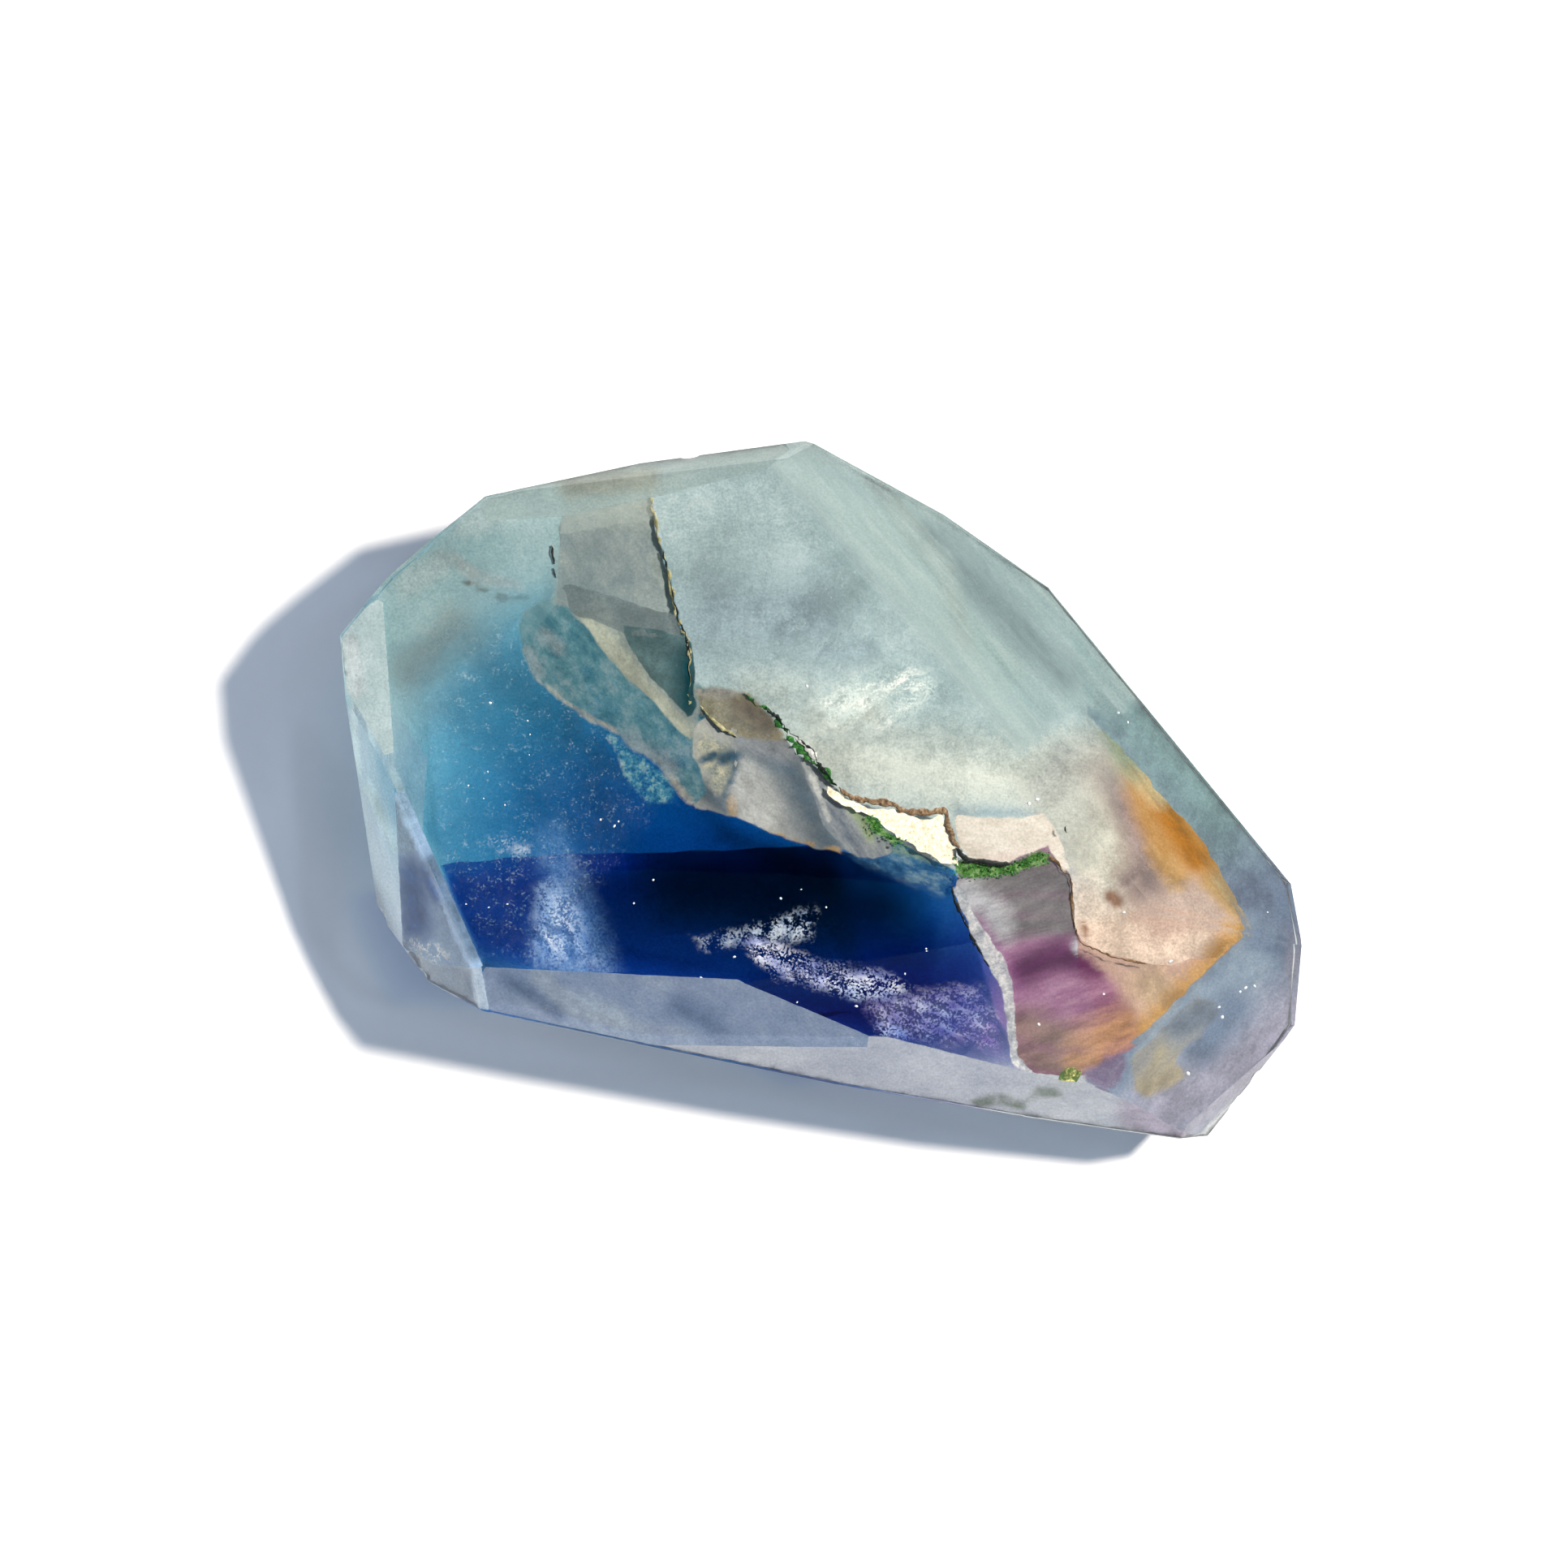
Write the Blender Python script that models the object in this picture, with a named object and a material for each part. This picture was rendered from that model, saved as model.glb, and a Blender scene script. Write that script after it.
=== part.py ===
"""A fluorite freeform: one see-through stone, ground and polished by hand into flat facets.

Sizes are written in millimetres and turned to metres as they are used. The stone lies on its flat base,
with its length along X, its width along Y and the base at Z = 0.
"""

import math

import bmesh
import bpy
from mathutils import Vector

MM = 0.001

# ---------------------------------------------------------------- driving dimensions
STONE_HEIGHT = 21.0  # from the base to the table, the large flat facet on top
ROUGH_LENGTH = 110.0  # the rough block that the facets are ground from
ROUGH_WIDTH = 90.0
EDGE_SOFTENING = 0.22  # how wide the polishing wheel rounds each edge
EDGE_STEPS = 2
LEAST_EDGE_ANGLE = 5.0  # degrees: two facets that meet flatter than this keep their line

# The cutter's chart. Each facet is ground to a plane: the way it faces round the stone in degrees from
# +X, its lean from level in degrees (over 90 it faces downwards), and its distance in millimetres from
# the middle of the base.
CROWN = (
    ("left_shoulder", -176, 16, 30.0),
    ("left_crown", -156, 51, 38.1),
    ("front_crown", -93, 21, 25.3),
    ("front_slope", -80, 14, 23.8),
    ("front_middle", -92, 28, 26.6),
    ("front_corner", -84, 36, 29.8),
    ("right_crown", 41, 30, 25.5),
    ("tail", -50, 22, 28.8),
    ("tail_edge", -49, 58, 42.4),
    ("back_shoulder", 97, 14, 26.3),
    ("back_bevel", 97, 55, 34.5),
)
WALLS = (
    ("wall_left_back", 131, 102, 32.0),
    ("wall_left_corner", 138, 101, 34.0),
    ("wall_left", -175, 97, 35.9),
    ("wall_left_front", -150, 102, 33.2),
    ("wall_front_corner", -140, 102, 31.2),
    ("wall_front_left", -106, 102, 20.3),
    ("wall_front", -103, 104, 18.3),
    ("wall_front_right", -101, 103, 18.9),
    ("wall_tail_front", -33, 102, 39.6),
    ("wall_tail", 0, 102, 35.6),
    ("wall_tail_back", 5, 103, 34.0),
    ("wall_right", 39, 103, 21.7),
    ("wall_right_back", 57.4, 103, 20.9),
    ("wall_right_corner", 64.6, 103, 21.2),
    ("wall_back", 98, 103, 24.5),
    ("wall_back_left", 104, 102, 25.9),
)
UNDERSIDE = (
    ("under_left_back", 127, 132, 19.4),
    ("under_left", -174, 128, 24.9),
    ("under_front", -101, 133, 10.7),
    ("under_tail", -34, 130, 27.6),
    ("under_right", 38, 138, 9.9),
    ("under_back", 98, 130, 14.0),
)

# Small shell-shaped chips: the two facets whose edge is chipped, how far along that edge (0 to 1), and the
# radius of the bite.
CHIP_DEPTH = 0.35  # how far a chip goes in from the edge
CHIPS = (
    ("chip_tail", "tail_edge", "wall_tail_front", 0.35, 1.5),
    ("chip_tail_small", "tail_edge", "wall_tail_front", 0.62, 0.9),
    ("chip_back", "back_bevel", "wall_back", 0.30, 1.2),
    ("chip_front_corner", "left_crown", "wall_front_corner", 0.85, 1.0),
    ("chip_left", "left_crown", "wall_left_front", 0.40, 1.1),
)
CHIP_ROUNDNESS = 2  # subdivisions of the ball that bites the chip out
ON_A_FACET = 0.001  # a corner this close to a plane lies on it

# ---------------------------------------------------------------- finish
PALE_AQUA = (0.36, 0.53, 0.57)  # linear colour of the stone's clear part
STONE_ROUGHNESS = 0.05
FLUORITE_IOR = 1.434


def clear_scene():
    for thing in list(bpy.data.objects):
        bpy.data.objects.remove(thing, do_unlink=True)


def facing(azimuth, lean):
    """The unit vector out of a facet that faces this way round the stone and leans this far from level."""
    around = math.radians(azimuth)
    down = math.radians(lean)
    flat = math.sin(down)
    return Vector((flat * math.cos(around), flat * math.sin(around), math.cos(down)))


def grind(mesh, normal, distance):
    """Cuts away what lies beyond a plane and closes the cut with one flat facet."""
    whole = mesh.verts[:] + mesh.edges[:] + mesh.faces[:]
    cut = bmesh.ops.bisect_plane(
        mesh, geom=whole, plane_co=normal * distance * MM, plane_no=normal, clear_outer=True
    )
    rim = [part for part in cut["geom_cut"] if isinstance(part, bmesh.types.BMEdge)]
    if rim:
        bmesh.ops.contextual_create(mesh, geom=rim)


def rough_block():
    """A rectangular block that stands on the base plane, as tall as the finished stone."""
    mesh = bmesh.new()
    bmesh.ops.create_cube(mesh, size=1.0)
    size = Vector((ROUGH_LENGTH, ROUGH_WIDTH, STONE_HEIGHT)) * MM
    bmesh.ops.scale(mesh, vec=size, verts=mesh.verts)
    bmesh.ops.translate(mesh, vec=(0.0, 0.0, size.z / 2), verts=mesh.verts)
    return mesh


def centre_on_base(mesh):
    """Moves the stone so that the middle of its box is above the origin, and says how far it moved."""
    low = Vector([min(point.co[axis] for point in mesh.verts) for axis in range(3)])
    high = Vector([max(point.co[axis] for point in mesh.verts) for axis in range(3)])
    shift = Vector((-(low.x + high.x) / 2, -(low.y + high.y) / 2, -low.z))
    bmesh.ops.translate(mesh, vec=shift, verts=mesh.verts)
    return shift


def new_object(name, mesh):
    data = bpy.data.meshes.new(name)
    bmesh.ops.recalc_face_normals(mesh, faces=mesh.faces)
    mesh.to_mesh(data)
    mesh.free()
    thing = bpy.data.objects.new(name, data)
    bpy.context.scene.collection.objects.link(thing)
    return thing


def see_through_fluorite():
    material = bpy.data.materials.new("fluorite")
    material.use_nodes = True
    shader = material.node_tree.nodes["Principled BSDF"]
    shader.inputs["Base Color"].default_value = (*PALE_AQUA, 1.0)
    shader.inputs["Roughness"].default_value = STONE_ROUGHNESS
    shader.inputs["Metallic"].default_value = 0.0
    shader.inputs["IOR"].default_value = FLUORITE_IOR
    shader.inputs["Transmission Weight"].default_value = 1.0
    return material


def make_chip_cutter(name, centre, outward, radius):
    """A ball that reaches CHIP_DEPTH into the stone at this place on an edge."""
    mesh = bmesh.new()
    bmesh.ops.create_icosphere(mesh, subdivisions=CHIP_ROUNDNESS, radius=radius * MM)
    middle = Vector(centre) + outward * (radius - CHIP_DEPTH)
    bmesh.ops.translate(mesh, vec=middle * MM, verts=mesh.verts)
    cutter = new_object(name, mesh)
    cutter.display_type = "WIRE"
    cutter.hide_render = True
    return cutter


def shared_edge(mesh, first, second):
    """The two ends of the edge along which two facets of the chart meet, in millimetres."""
    ends = [
        point.co / MM
        for point in mesh.verts
        if all(
            abs(facing(azimuth, lean).dot(point.co / MM) - distance) < ON_A_FACET
            for name, azimuth, lean, distance in CROWN + WALLS + UNDERSIDE
            if name in (first, second)
        )
    ]
    return ends[0], ends[-1]


def make_stone():
    mesh = rough_block()
    directions = {}
    for name, azimuth, lean, distance in CROWN + WALLS + UNDERSIDE:
        directions[name] = facing(azimuth, lean)
        grind(mesh, directions[name], distance)
    bites = []
    for name, first, second, part, radius in CHIPS:
        start, end = sorted(shared_edge(mesh, first, second), key=lambda point: point.x)
        outward = (directions[first] + directions[second]).normalized()
        bites.append((name, start.lerp(end, part), outward, radius))
    shift = centre_on_base(mesh) / MM
    stone = new_object("fluorite_stone", mesh)
    stone.data.materials.append(see_through_fluorite())

    softened = stone.modifiers.new("softened_edges", "BEVEL")
    softened.width = EDGE_SOFTENING * MM
    softened.segments = EDGE_STEPS
    softened.limit_method = "ANGLE"
    softened.angle_limit = math.radians(LEAST_EDGE_ANGLE)

    for name, point, outward, radius in bites:
        chip = stone.modifiers.new(name, "BOOLEAN")
        chip.operation = "DIFFERENCE"
        chip.solver = "EXACT"
        chip.object = make_chip_cutter(name, point + shift, outward, radius)
    return stone


clear_scene()
make_stone()
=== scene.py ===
# %% [markdown]
# # A fluorite freeform
# A lump of banded fluorite, ground into flat facets and polished by hand. The stone is see-through, so
# most of what the eye meets lies inside it: colour zones from when the crystal grew, milky veils, healed
# fractures stained by iron, open cracks, and crusts of cream and green mineral. The measured solid is
# loaded first. It stays as it is and only gets its finish; every inclusion is then built inside it.

# %% Load the measured stone
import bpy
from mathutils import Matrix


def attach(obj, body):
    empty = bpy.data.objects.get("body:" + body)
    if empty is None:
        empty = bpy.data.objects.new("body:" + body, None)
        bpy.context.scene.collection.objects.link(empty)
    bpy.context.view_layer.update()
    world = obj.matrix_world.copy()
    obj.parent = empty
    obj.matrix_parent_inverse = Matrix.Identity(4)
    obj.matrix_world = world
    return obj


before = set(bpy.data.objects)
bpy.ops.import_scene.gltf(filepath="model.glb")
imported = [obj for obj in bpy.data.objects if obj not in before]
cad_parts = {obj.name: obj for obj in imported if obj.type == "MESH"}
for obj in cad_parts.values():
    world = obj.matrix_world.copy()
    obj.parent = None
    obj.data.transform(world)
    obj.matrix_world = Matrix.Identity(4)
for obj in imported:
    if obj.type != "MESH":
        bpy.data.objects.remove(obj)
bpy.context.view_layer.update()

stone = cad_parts["fluorite_stone"]

# %% [markdown]
# ## Units and the shared helpers
# Every size below is in millimetres, because that is how a stone cutter measures, and `MM` turns it to
# metres. Colours are written as the hex values that a colour picker shows and turned to linear light by
# one function. One function adds a shader node, sets it up and links it, so a material reads as a list of
# its nodes.

# %% Shared helpers
import math

import bmesh
import bpy
import numpy as np
from mathutils import Vector, noise
from mathutils.geometry import delaunay_2d_cdt

MM = 0.001
SRGB_KNEE = 0.04045  # below this value the sRGB curve is a straight line


def linear(hex_colour):
    """A picker's hex colour, such as "4a8197", as linear red, green, blue and full alpha."""
    values = [int(hex_colour[i : i + 2], 16) / 255 for i in (0, 2, 4)]
    return (*(v / 12.92 if v <= SRGB_KNEE else ((v + 0.055) / 1.055) ** 2.4 for v in values), 1.0)


def add_node(tree, kind, inputs=None, **settings):
    """Adds a shader node. `settings` are its properties; `inputs` maps a socket to a value or a link."""
    node = tree.nodes.new("ShaderNode" + kind)
    for name, value in settings.items():
        setattr(node, name, value)
    for socket, value in (inputs or {}).items():
        if isinstance(value, bpy.types.NodeSocket):
            tree.links.new(value, node.inputs[socket])
        else:
            node.inputs[socket].default_value = value
    return node


def empty_material(name):
    material = bpy.data.materials.new(name)
    material.use_nodes = True
    material.node_tree.nodes.clear()
    return material, material.node_tree


print("half-way grey on the screen, in linear light:", round(linear("808080")[0], 3))

# %% [markdown]
# ## Camera
# The stone is looked at from straight above with a long lens, which keeps the upright side walls out of
# sight and the outline true. The picture is square, and its middle is a little left of the stone's
# middle.

# %% Camera
PICTURE = 1932  # pixels along each side of the finished picture
MM_PER_PIXEL = 0.068085  # at the height of the widest outline
STONE_MIDDLE_PIXEL = (1012.7, 975.0)
OUTLINE_HEIGHT = 13.0
LENS = 150.0
SENSOR = 36.0

camera_data = bpy.data.cameras.new("camera")
camera_data.lens = LENS
camera_data.sensor_width = SENSOR
camera = bpy.data.objects.new("camera", camera_data)
bpy.context.scene.collection.objects.link(camera)
camera_height = OUTLINE_HEIGHT + MM_PER_PIXEL * PICTURE * LENS / SENSOR
camera.location = (
    (PICTURE / 2 - STONE_MIDDLE_PIXEL[0]) * MM_PER_PIXEL * MM,
    (STONE_MIDDLE_PIXEL[1] - PICTURE / 2) * MM_PER_PIXEL * MM,
    camera_height * MM,
)
bpy.context.scene.camera = camera
print("camera height in mm:", round(camera_height))

# %% [markdown]
# ## Floor
# A plain matt white board carries the stone. It lies a hair below the base facet, because two faces that
# share one plane flicker.

# %% Floor
FLOOR_HALF = 600.0
FLOOR_GAP = 0.05

floor_mesh = bpy.data.meshes.new("floor")
floor_bm = bmesh.new()
bmesh.ops.create_grid(floor_bm, x_segments=1, y_segments=1, size=FLOOR_HALF * MM)
floor_bm.to_mesh(floor_mesh)
floor_bm.free()
floor = bpy.data.objects.new("floor", floor_mesh)
floor.location.z = -FLOOR_GAP * MM
bpy.context.scene.collection.objects.link(floor)
board, board_tree = empty_material("matt_white_board")
board_grain = add_node(board_tree, "TexNoise", {"Scale": 900.0, "Detail": 4.0})
board_tone = add_node(
    board_tree,
    "MixRGB",
    {"Fac": board_grain.outputs["Fac"], "Color1": linear("f1f2f4"), "Color2": linear("f6f6f7")},
)
board_surface = add_node(
    board_tree, "BsdfPrincipled", {"Base Color": board_tone.outputs["Color"], "Roughness": 0.8}
)
add_node(board_tree, "OutputMaterial", {"Surface": board_surface.outputs["BSDF"]})
floor_mesh.materials.append(board)
print("board width in mm:", 2 * FLOOR_HALF)

# %% [markdown]
# ## Lamps
# A bright lamp stands in for low sun through a window at the right. It is wide enough to give the shadow
# a slightly soft rim. Three wide, weak lamps lift the dark sides.

# %% Lamps
LAMPS = (
    # name, compass direction from +X, height above the board in degrees, width in mm, power in watts
    ("window_lamp", 19.0, 60.0, 90.0, 18.5),
    ("soft_fill_left", 170.0, 40.0, 700.0, 1.5),
    ("soft_fill_front", -95.0, 40.0, 700.0, 0.8),
    ("soft_fill_back", 75.0, 45.0, 700.0, 0.5),
)
LAMP_DISTANCE = 1000.0
LAMP_TONE = "fff8ee"
FILL_TONE = "dfe9fa"

for lamp_name, compass, height, width, power in LAMPS:
    lamp_data = bpy.data.lights.new(lamp_name, "AREA")
    lamp_data.shape = "DISK"
    lamp_data.size = width * MM
    lamp_data.energy = power
    lamp_data.color = linear(LAMP_TONE if lamp_name == "window_lamp" else FILL_TONE)[:3]
    lamp_data.cycles.use_multiple_importance_sampling = False
    level_part = math.cos(math.radians(height))
    towards = Vector(
        (
            level_part * math.cos(math.radians(compass)),
            level_part * math.sin(math.radians(compass)),
            math.sin(math.radians(height)),
        )
    )
    lamp = bpy.data.objects.new(lamp_name, lamp_data)
    lamp.location = towards * LAMP_DISTANCE * MM
    lamp.rotation_euler = towards.to_track_quat("Z", "Y").to_euler()
    bpy.context.scene.collection.objects.link(lamp)
    print(f"{lamp_name}: {power} W from {height:.0f} degrees above the board")

# %% [markdown]
# ## Sky
# Even sky light from all round gives the facets something to mirror. It is dark right overhead, where
# whoever looks down on the stone shades it; a bright sky there would lay a white gleam over the whole
# table facet.

# %% Sky
SKY_STRENGTH = 0.35
HORIZON_TONE = "aab4c2"
OVERHEAD_TONE = "1a1c20"
OVERHEAD_FROM = 0.90  # sine of the height at which the sky starts to darken

world = bpy.data.worlds.new("soft_sky")
world.use_nodes = True
world.node_tree.nodes.clear()
sky_place = add_node(world.node_tree, "TexCoord").outputs["Generated"]
sky_height = add_node(world.node_tree, "SeparateXYZ", {"Vector": sky_place}).outputs["Z"]
sky_share = add_node(
    world.node_tree, "MapRange", {"Value": sky_height, "From Min": OVERHEAD_FROM, "From Max": 1.0}
)
sky_tone = add_node(
    world.node_tree,
    "MixRGB",
    {
        "Fac": sky_share.outputs["Result"],
        "Color1": linear(HORIZON_TONE),
        "Color2": linear(OVERHEAD_TONE),
    },
)
sky = add_node(
    world.node_tree, "Background", {"Color": sky_tone.outputs["Color"], "Strength": SKY_STRENGTH}
)
add_node(world.node_tree, "OutputWorld", {"Surface": sky.outputs["Background"]})
bpy.context.scene.world = world
print("nodes in the sky:", len(world.node_tree.nodes))

# %% [markdown]
# ## Bounces
# The stone is full of clear layers, so light needs more bounces than usual to get through all of them.
# Light that glass focuses is left out, because it would only add noise.

# %% Bounces
cycles = bpy.context.scene.cycles
cycles.max_bounces = 24
cycles.transmission_bounces = 24
cycles.transparent_max_bounces = 64
cycles.volume_bounces = 0
cycles.caustics_reflective = False
cycles.caustics_refractive = False
bpy.context.scene.view_settings.view_transform = "Standard"
print("clear layers that a ray may cross:", cycles.transparent_max_bounces)

# %% [markdown]
# ## Polished fluorite
# The stone itself is clear fluorite, ground on a lap and polished to a wet gloss. Fluorite bends light
# less than quartz does (its index is 1.434), so the facets look soft and a little watery. The whole body
# is faintly tinted green and grey, as absorption that grows with the length of the path through it. Rays
# that only ask whether a lamp is in view pass straight through the skin, and only a small share of them
# goes on to the board behind. Without that, the inside of every glass body would be black until slow
# caustic light found its way in.

# %% Polished fluorite
FLUORITE_IOR = 1.434
POLISH_ROUGHNESS = 0.02
SHADE_GOING_IN = (0.10, 0.14, 0.20, 1.0)  # share of lamp light that gets through to the board behind
SHADE_GOING_OUT = (0.97, 0.97, 0.97, 1.0)  # share of lamp light that gets to what lies inside

polished, polished_tree = empty_material("polished_fluorite")
gloss = add_node(
    polished_tree,
    "BsdfPrincipled",
    {
        "Base Color": (1.0, 1.0, 1.0, 1.0),
        "Roughness": POLISH_ROUGHNESS,
        "IOR": FLUORITE_IOR,
        "Transmission Weight": 1.0,
    },
)
ray = add_node(polished_tree, "LightPath")
skin_side = add_node(polished_tree, "NewGeometry").outputs["Backfacing"]
skin_shade = add_node(
    polished_tree, "MixRGB", {"Fac": skin_side, "Color1": SHADE_GOING_IN, "Color2": SHADE_GOING_OUT}
)
way_in = add_node(polished_tree, "BsdfTransparent", {"Color": skin_shade.outputs["Color"]})
skin = add_node(
    polished_tree,
    "MixShader",
    {"Fac": ray.outputs["Is Shadow Ray"], 1: gloss.outputs["BSDF"], 2: way_in.outputs["BSDF"]},
)
body_tint = add_node(polished_tree, "VolumeAbsorption", {"Color": linear("cfe0e0"), "Density": 8.0})
add_node(
    polished_tree,
    "OutputMaterial",
    {"Surface": skin.outputs["Shader"], "Volume": body_tint.outputs["Volume"]},
)
stone.data.materials.clear()
stone.data.materials.append(polished)
print("nodes in the stone's finish:", len(polished_tree.nodes))

# %% [markdown]
# ## The facets as planes
# Light bends as it enters each facet, so a flake that is seen at one spot of the picture lies somewhat
# beside it. To place the inclusions, the script has to know the facets. They are read from the measured
# solid: every large flat face is one plane, kept as the direction it faces and its distance from the
# middle of the base.

# %% The facets as planes
SMALLEST_FACET = 4e-6  # square metres: leaves out the narrow strips of the softened edges
SAME_FACET = 0.9995  # normals whose dot product is over this belong to one facet

facets = []
for face in sorted(stone.data.polygons, key=lambda polygon: -polygon.area):
    if face.area > SMALLEST_FACET and all(face.normal.dot(n) < SAME_FACET for n, _ in facets):
        facets.append((face.normal.copy(), face.normal.dot(face.center) / MM))
eye = Vector(camera.location) / MM
print("facets found:", len(facets))

# %% [markdown]
# ## Where a line of sight goes inside the stone
# An outline inside the stone is easiest to draw as it is seen from above, as points of the picture. A
# line of sight runs from the eye through such a point to the first facet, where it is bent (Snell's law),
# and on down to the height at which the flake lies. Drawing the outlines directly in millimetres would
# need a guess at this bending for each of them.

# %% Bent lines of sight
EDGE_ON = 0.05  # facets that are seen at less than this sine of an angle are left out
ROUNDS = 6  # a level may change with the place, so the place is worked out again and again


def sight_through(pixel):
    """The direction in which the eye sees this picture point."""
    return Vector((pixel[0] - PICTURE / 2, PICTURE / 2 - pixel[1], -PICTURE * LENS / SENSOR)).normalized()


def look_in(pixel, through):
    """Where this picture point's line of sight enters the stone, in millimetres, and its way on inside.

    With `through`, it is bent at the facet that is seen at that other picture point.
    """
    sight = sight_through(through or pixel)
    normal, distance = max(
        (facet for facet in facets if facet[0].dot(sight) < -EDGE_ON),
        key=lambda facet: (facet[1] - facet[0].dot(eye)) / facet[0].dot(sight),
    )
    sight = sight_through(pixel)
    entry = (distance - normal.dot(eye)) / normal.dot(sight)
    ratio = 1 / FLUORITE_IOR
    straight = -normal.dot(sight)
    bent = sight * ratio + normal * (ratio * straight - math.sqrt(1 - ratio**2 * (1 - straight**2)))
    return eye + sight * entry, bent


def reach_level(pixel, level, through=None):
    """The x and y in millimetres at which a line of sight comes down to a level.

    A level is a rule that gives a height for each x and y.
    """
    start, way = look_in(pixel, through)
    height = level(start.x, start.y)
    for _ in range(ROUNDS):
        spot = start + way * ((height - start.z) / way.z)
        height = level(spot.x, spot.y)
    return spot.x, spot.y


middle_spot = reach_level((PICTURE / 2, PICTURE / 2), lambda x, y: 5.0)
print("the picture's middle, 5 mm above the base, is at", [round(value, 2) for value in middle_spot])

# %% [markdown]
# ## Staying inside the stone
# Nothing sealed in the stone may come through its skin. A cut stone is convex, so it is enough to push
# each point back under every facet that it has passed; the straight faces between the points then stay
# inside too.

# %% Staying inside the stone
SKIN_MARGIN = 0.06  # millimetres that inclusions stay below the surface


def keep_inside(point, margin=SKIN_MARGIN):
    """Pushes a point, in millimetres, back under any facet that it comes too close to."""
    for _ in range(3):
        for n, distance in facets:
            over = n.dot(point) - (distance - margin)
            if over > 0:
                point = point - n * over
    return point


pushed = keep_inside(Vector((0.0, 0.0, 30.0)))
print("a point 30 mm above the base is pushed down to this height in mm:", round(pushed.z, 2))

# %% [markdown]
# ## Levels
# Each inclusion lies on a level: a rule that gives a height for each place. Most growth zones lie flat;
# veils and haze follow the polished crown at some depth. A rule is easier to change than a drawn surface.

# %% Levels


def flat_at(height):
    """A level that lies flat at this height."""
    return lambda x, y: height


def below_skin(depth):
    """A level that follows the crown's facets at this depth."""
    crown = [(n, distance) for n, distance in facets if n.z > 0.1]
    return lambda x, y: min((distance - n.x * x - n.y * y) / n.z for n, distance in crown) - depth


print("crown height above the middle of the base, in mm:", round(below_skin(0.0)(0.0, 0.0), 2))

# %% [markdown]
# ## Outlines
# Real veils and flakes have ragged rims. An outline is drawn with few points; more points are
# then set along it, and smooth noise moves each a little to the side. How far a place is from the rim is
# measured too, because a finish thins out or turns paler there. These are plain sums over arrays of
# points, which is much faster than a loop over every point.

# %% Outlines
TINY = 1e-9  # keeps a sum from dividing by nothing


def inside_outline(points, outline):
    """True for each point that lies in the closed outline (both are arrays of x and y)."""
    x, y = points[:, :1], points[:, 1:]
    ends = np.roll(outline, -1, axis=0)
    crosses = (outline[:, 1] > y) != (ends[:, 1] > y)
    rise = np.where(ends[:, 1] == outline[:, 1], TINY, ends[:, 1] - outline[:, 1])
    hit = outline[:, 0] + (y - outline[:, 1]) * (ends[:, 0] - outline[:, 0]) / rise
    return (crosses & (x < hit)).sum(axis=1) % 2 == 1


def line_distance(points, line):
    """How far each point is from a line of straight stretches."""
    starts, along = line[:-1], line[1:] - line[:-1]
    offset = points[:, None] - starts[None]
    length = (along**2).sum(axis=1)
    part = np.clip((offset * along).sum(axis=2) / np.maximum(length, TINY), 0, 1)
    return np.sqrt(((offset - part[..., None] * along) ** 2).sum(axis=2)).min(axis=1)


def rim_distance(points, outline):
    """How far each point is from a closed outline."""
    return line_distance(points, np.vstack([outline, outline[:1]]))


NOISE_SEED = 1
noise.seed_set(NOISE_SEED)  # without it the vector noise starts from the clock, and runs differ


def ragged(outline, step, wander, seed):
    """The outline with a point every `step` millimetres, each moved a little to the side by noise."""
    points = []
    for start, end in zip(outline, np.roll(outline, -1, axis=0)):
        count = max(1, round(float(np.hypot(*(end - start))) / step))
        points += [start + (end - start) * i / count for i in range(count)]
    moved = []
    for point in points:
        drift = noise.turbulence_vector(Vector((point[0] * 0.9, point[1] * 0.9, seed)), 3, False)
        moved.append(point + wander * np.array([drift.x, drift.y]))
    return np.array(moved)


SQUARE = np.array([(0.0, 0.0), (10.0, 0.0), (10.0, 10.0), (0.0, 10.0)])
print("rim points of a 10 mm square at a step of 2 mm:", len(ragged(SQUARE, 2.0, 0.2, 0)))

# %% [markdown]
# ## Nets
# A flat outline is filled with small triangles, so that the skin can be crumpled and can carry a
# different value at each of its points. A loose grid of points goes in, and a Delaunay triangulation
# joins them with the rim. A grid filled with squares would leave a stepped rim.

# %% Nets


def net(outline, step, seed):
    """Fills an outline with triangles about one step wide. Returns points, triangles and rim distances."""
    low, high = outline.min(axis=0), outline.max(axis=0)
    columns = np.arange(low[0], high[0], step)
    rows = np.arange(low[1], high[1], step)
    grid = np.array([(x, y) for x in columns for y in rows])
    grid = grid + np.random.default_rng(seed).uniform(-0.3, 0.3, grid.shape) * step
    grid = grid[inside_outline(grid, outline)]
    if len(grid):
        grid = grid[rim_distance(grid, outline) > step * 0.6]
    points = np.vstack([outline, grid])
    ring = [(i, (i + 1) % len(outline)) for i in range(len(outline))]
    made = delaunay_2d_cdt([Vector(p) for p in points], ring, [list(range(len(outline)))], 1, 1e-5)
    flat = np.array([tuple(p) for p in made[0]])
    return flat, made[2], rim_distance(flat, outline)


print("triangles in the square at a step of 2 mm:", len(net(ragged(SQUARE, 2.0, 0.2, 0), 2.0, 0)[1]))

# %% [markdown]
# ## Turning points into a piece
# Each inclusion becomes an object of its own: points, faces, a finish, and named values at its points
# that the finish may read. It is then hung on the empty of the root body.

# %% Turning points into a piece


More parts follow.
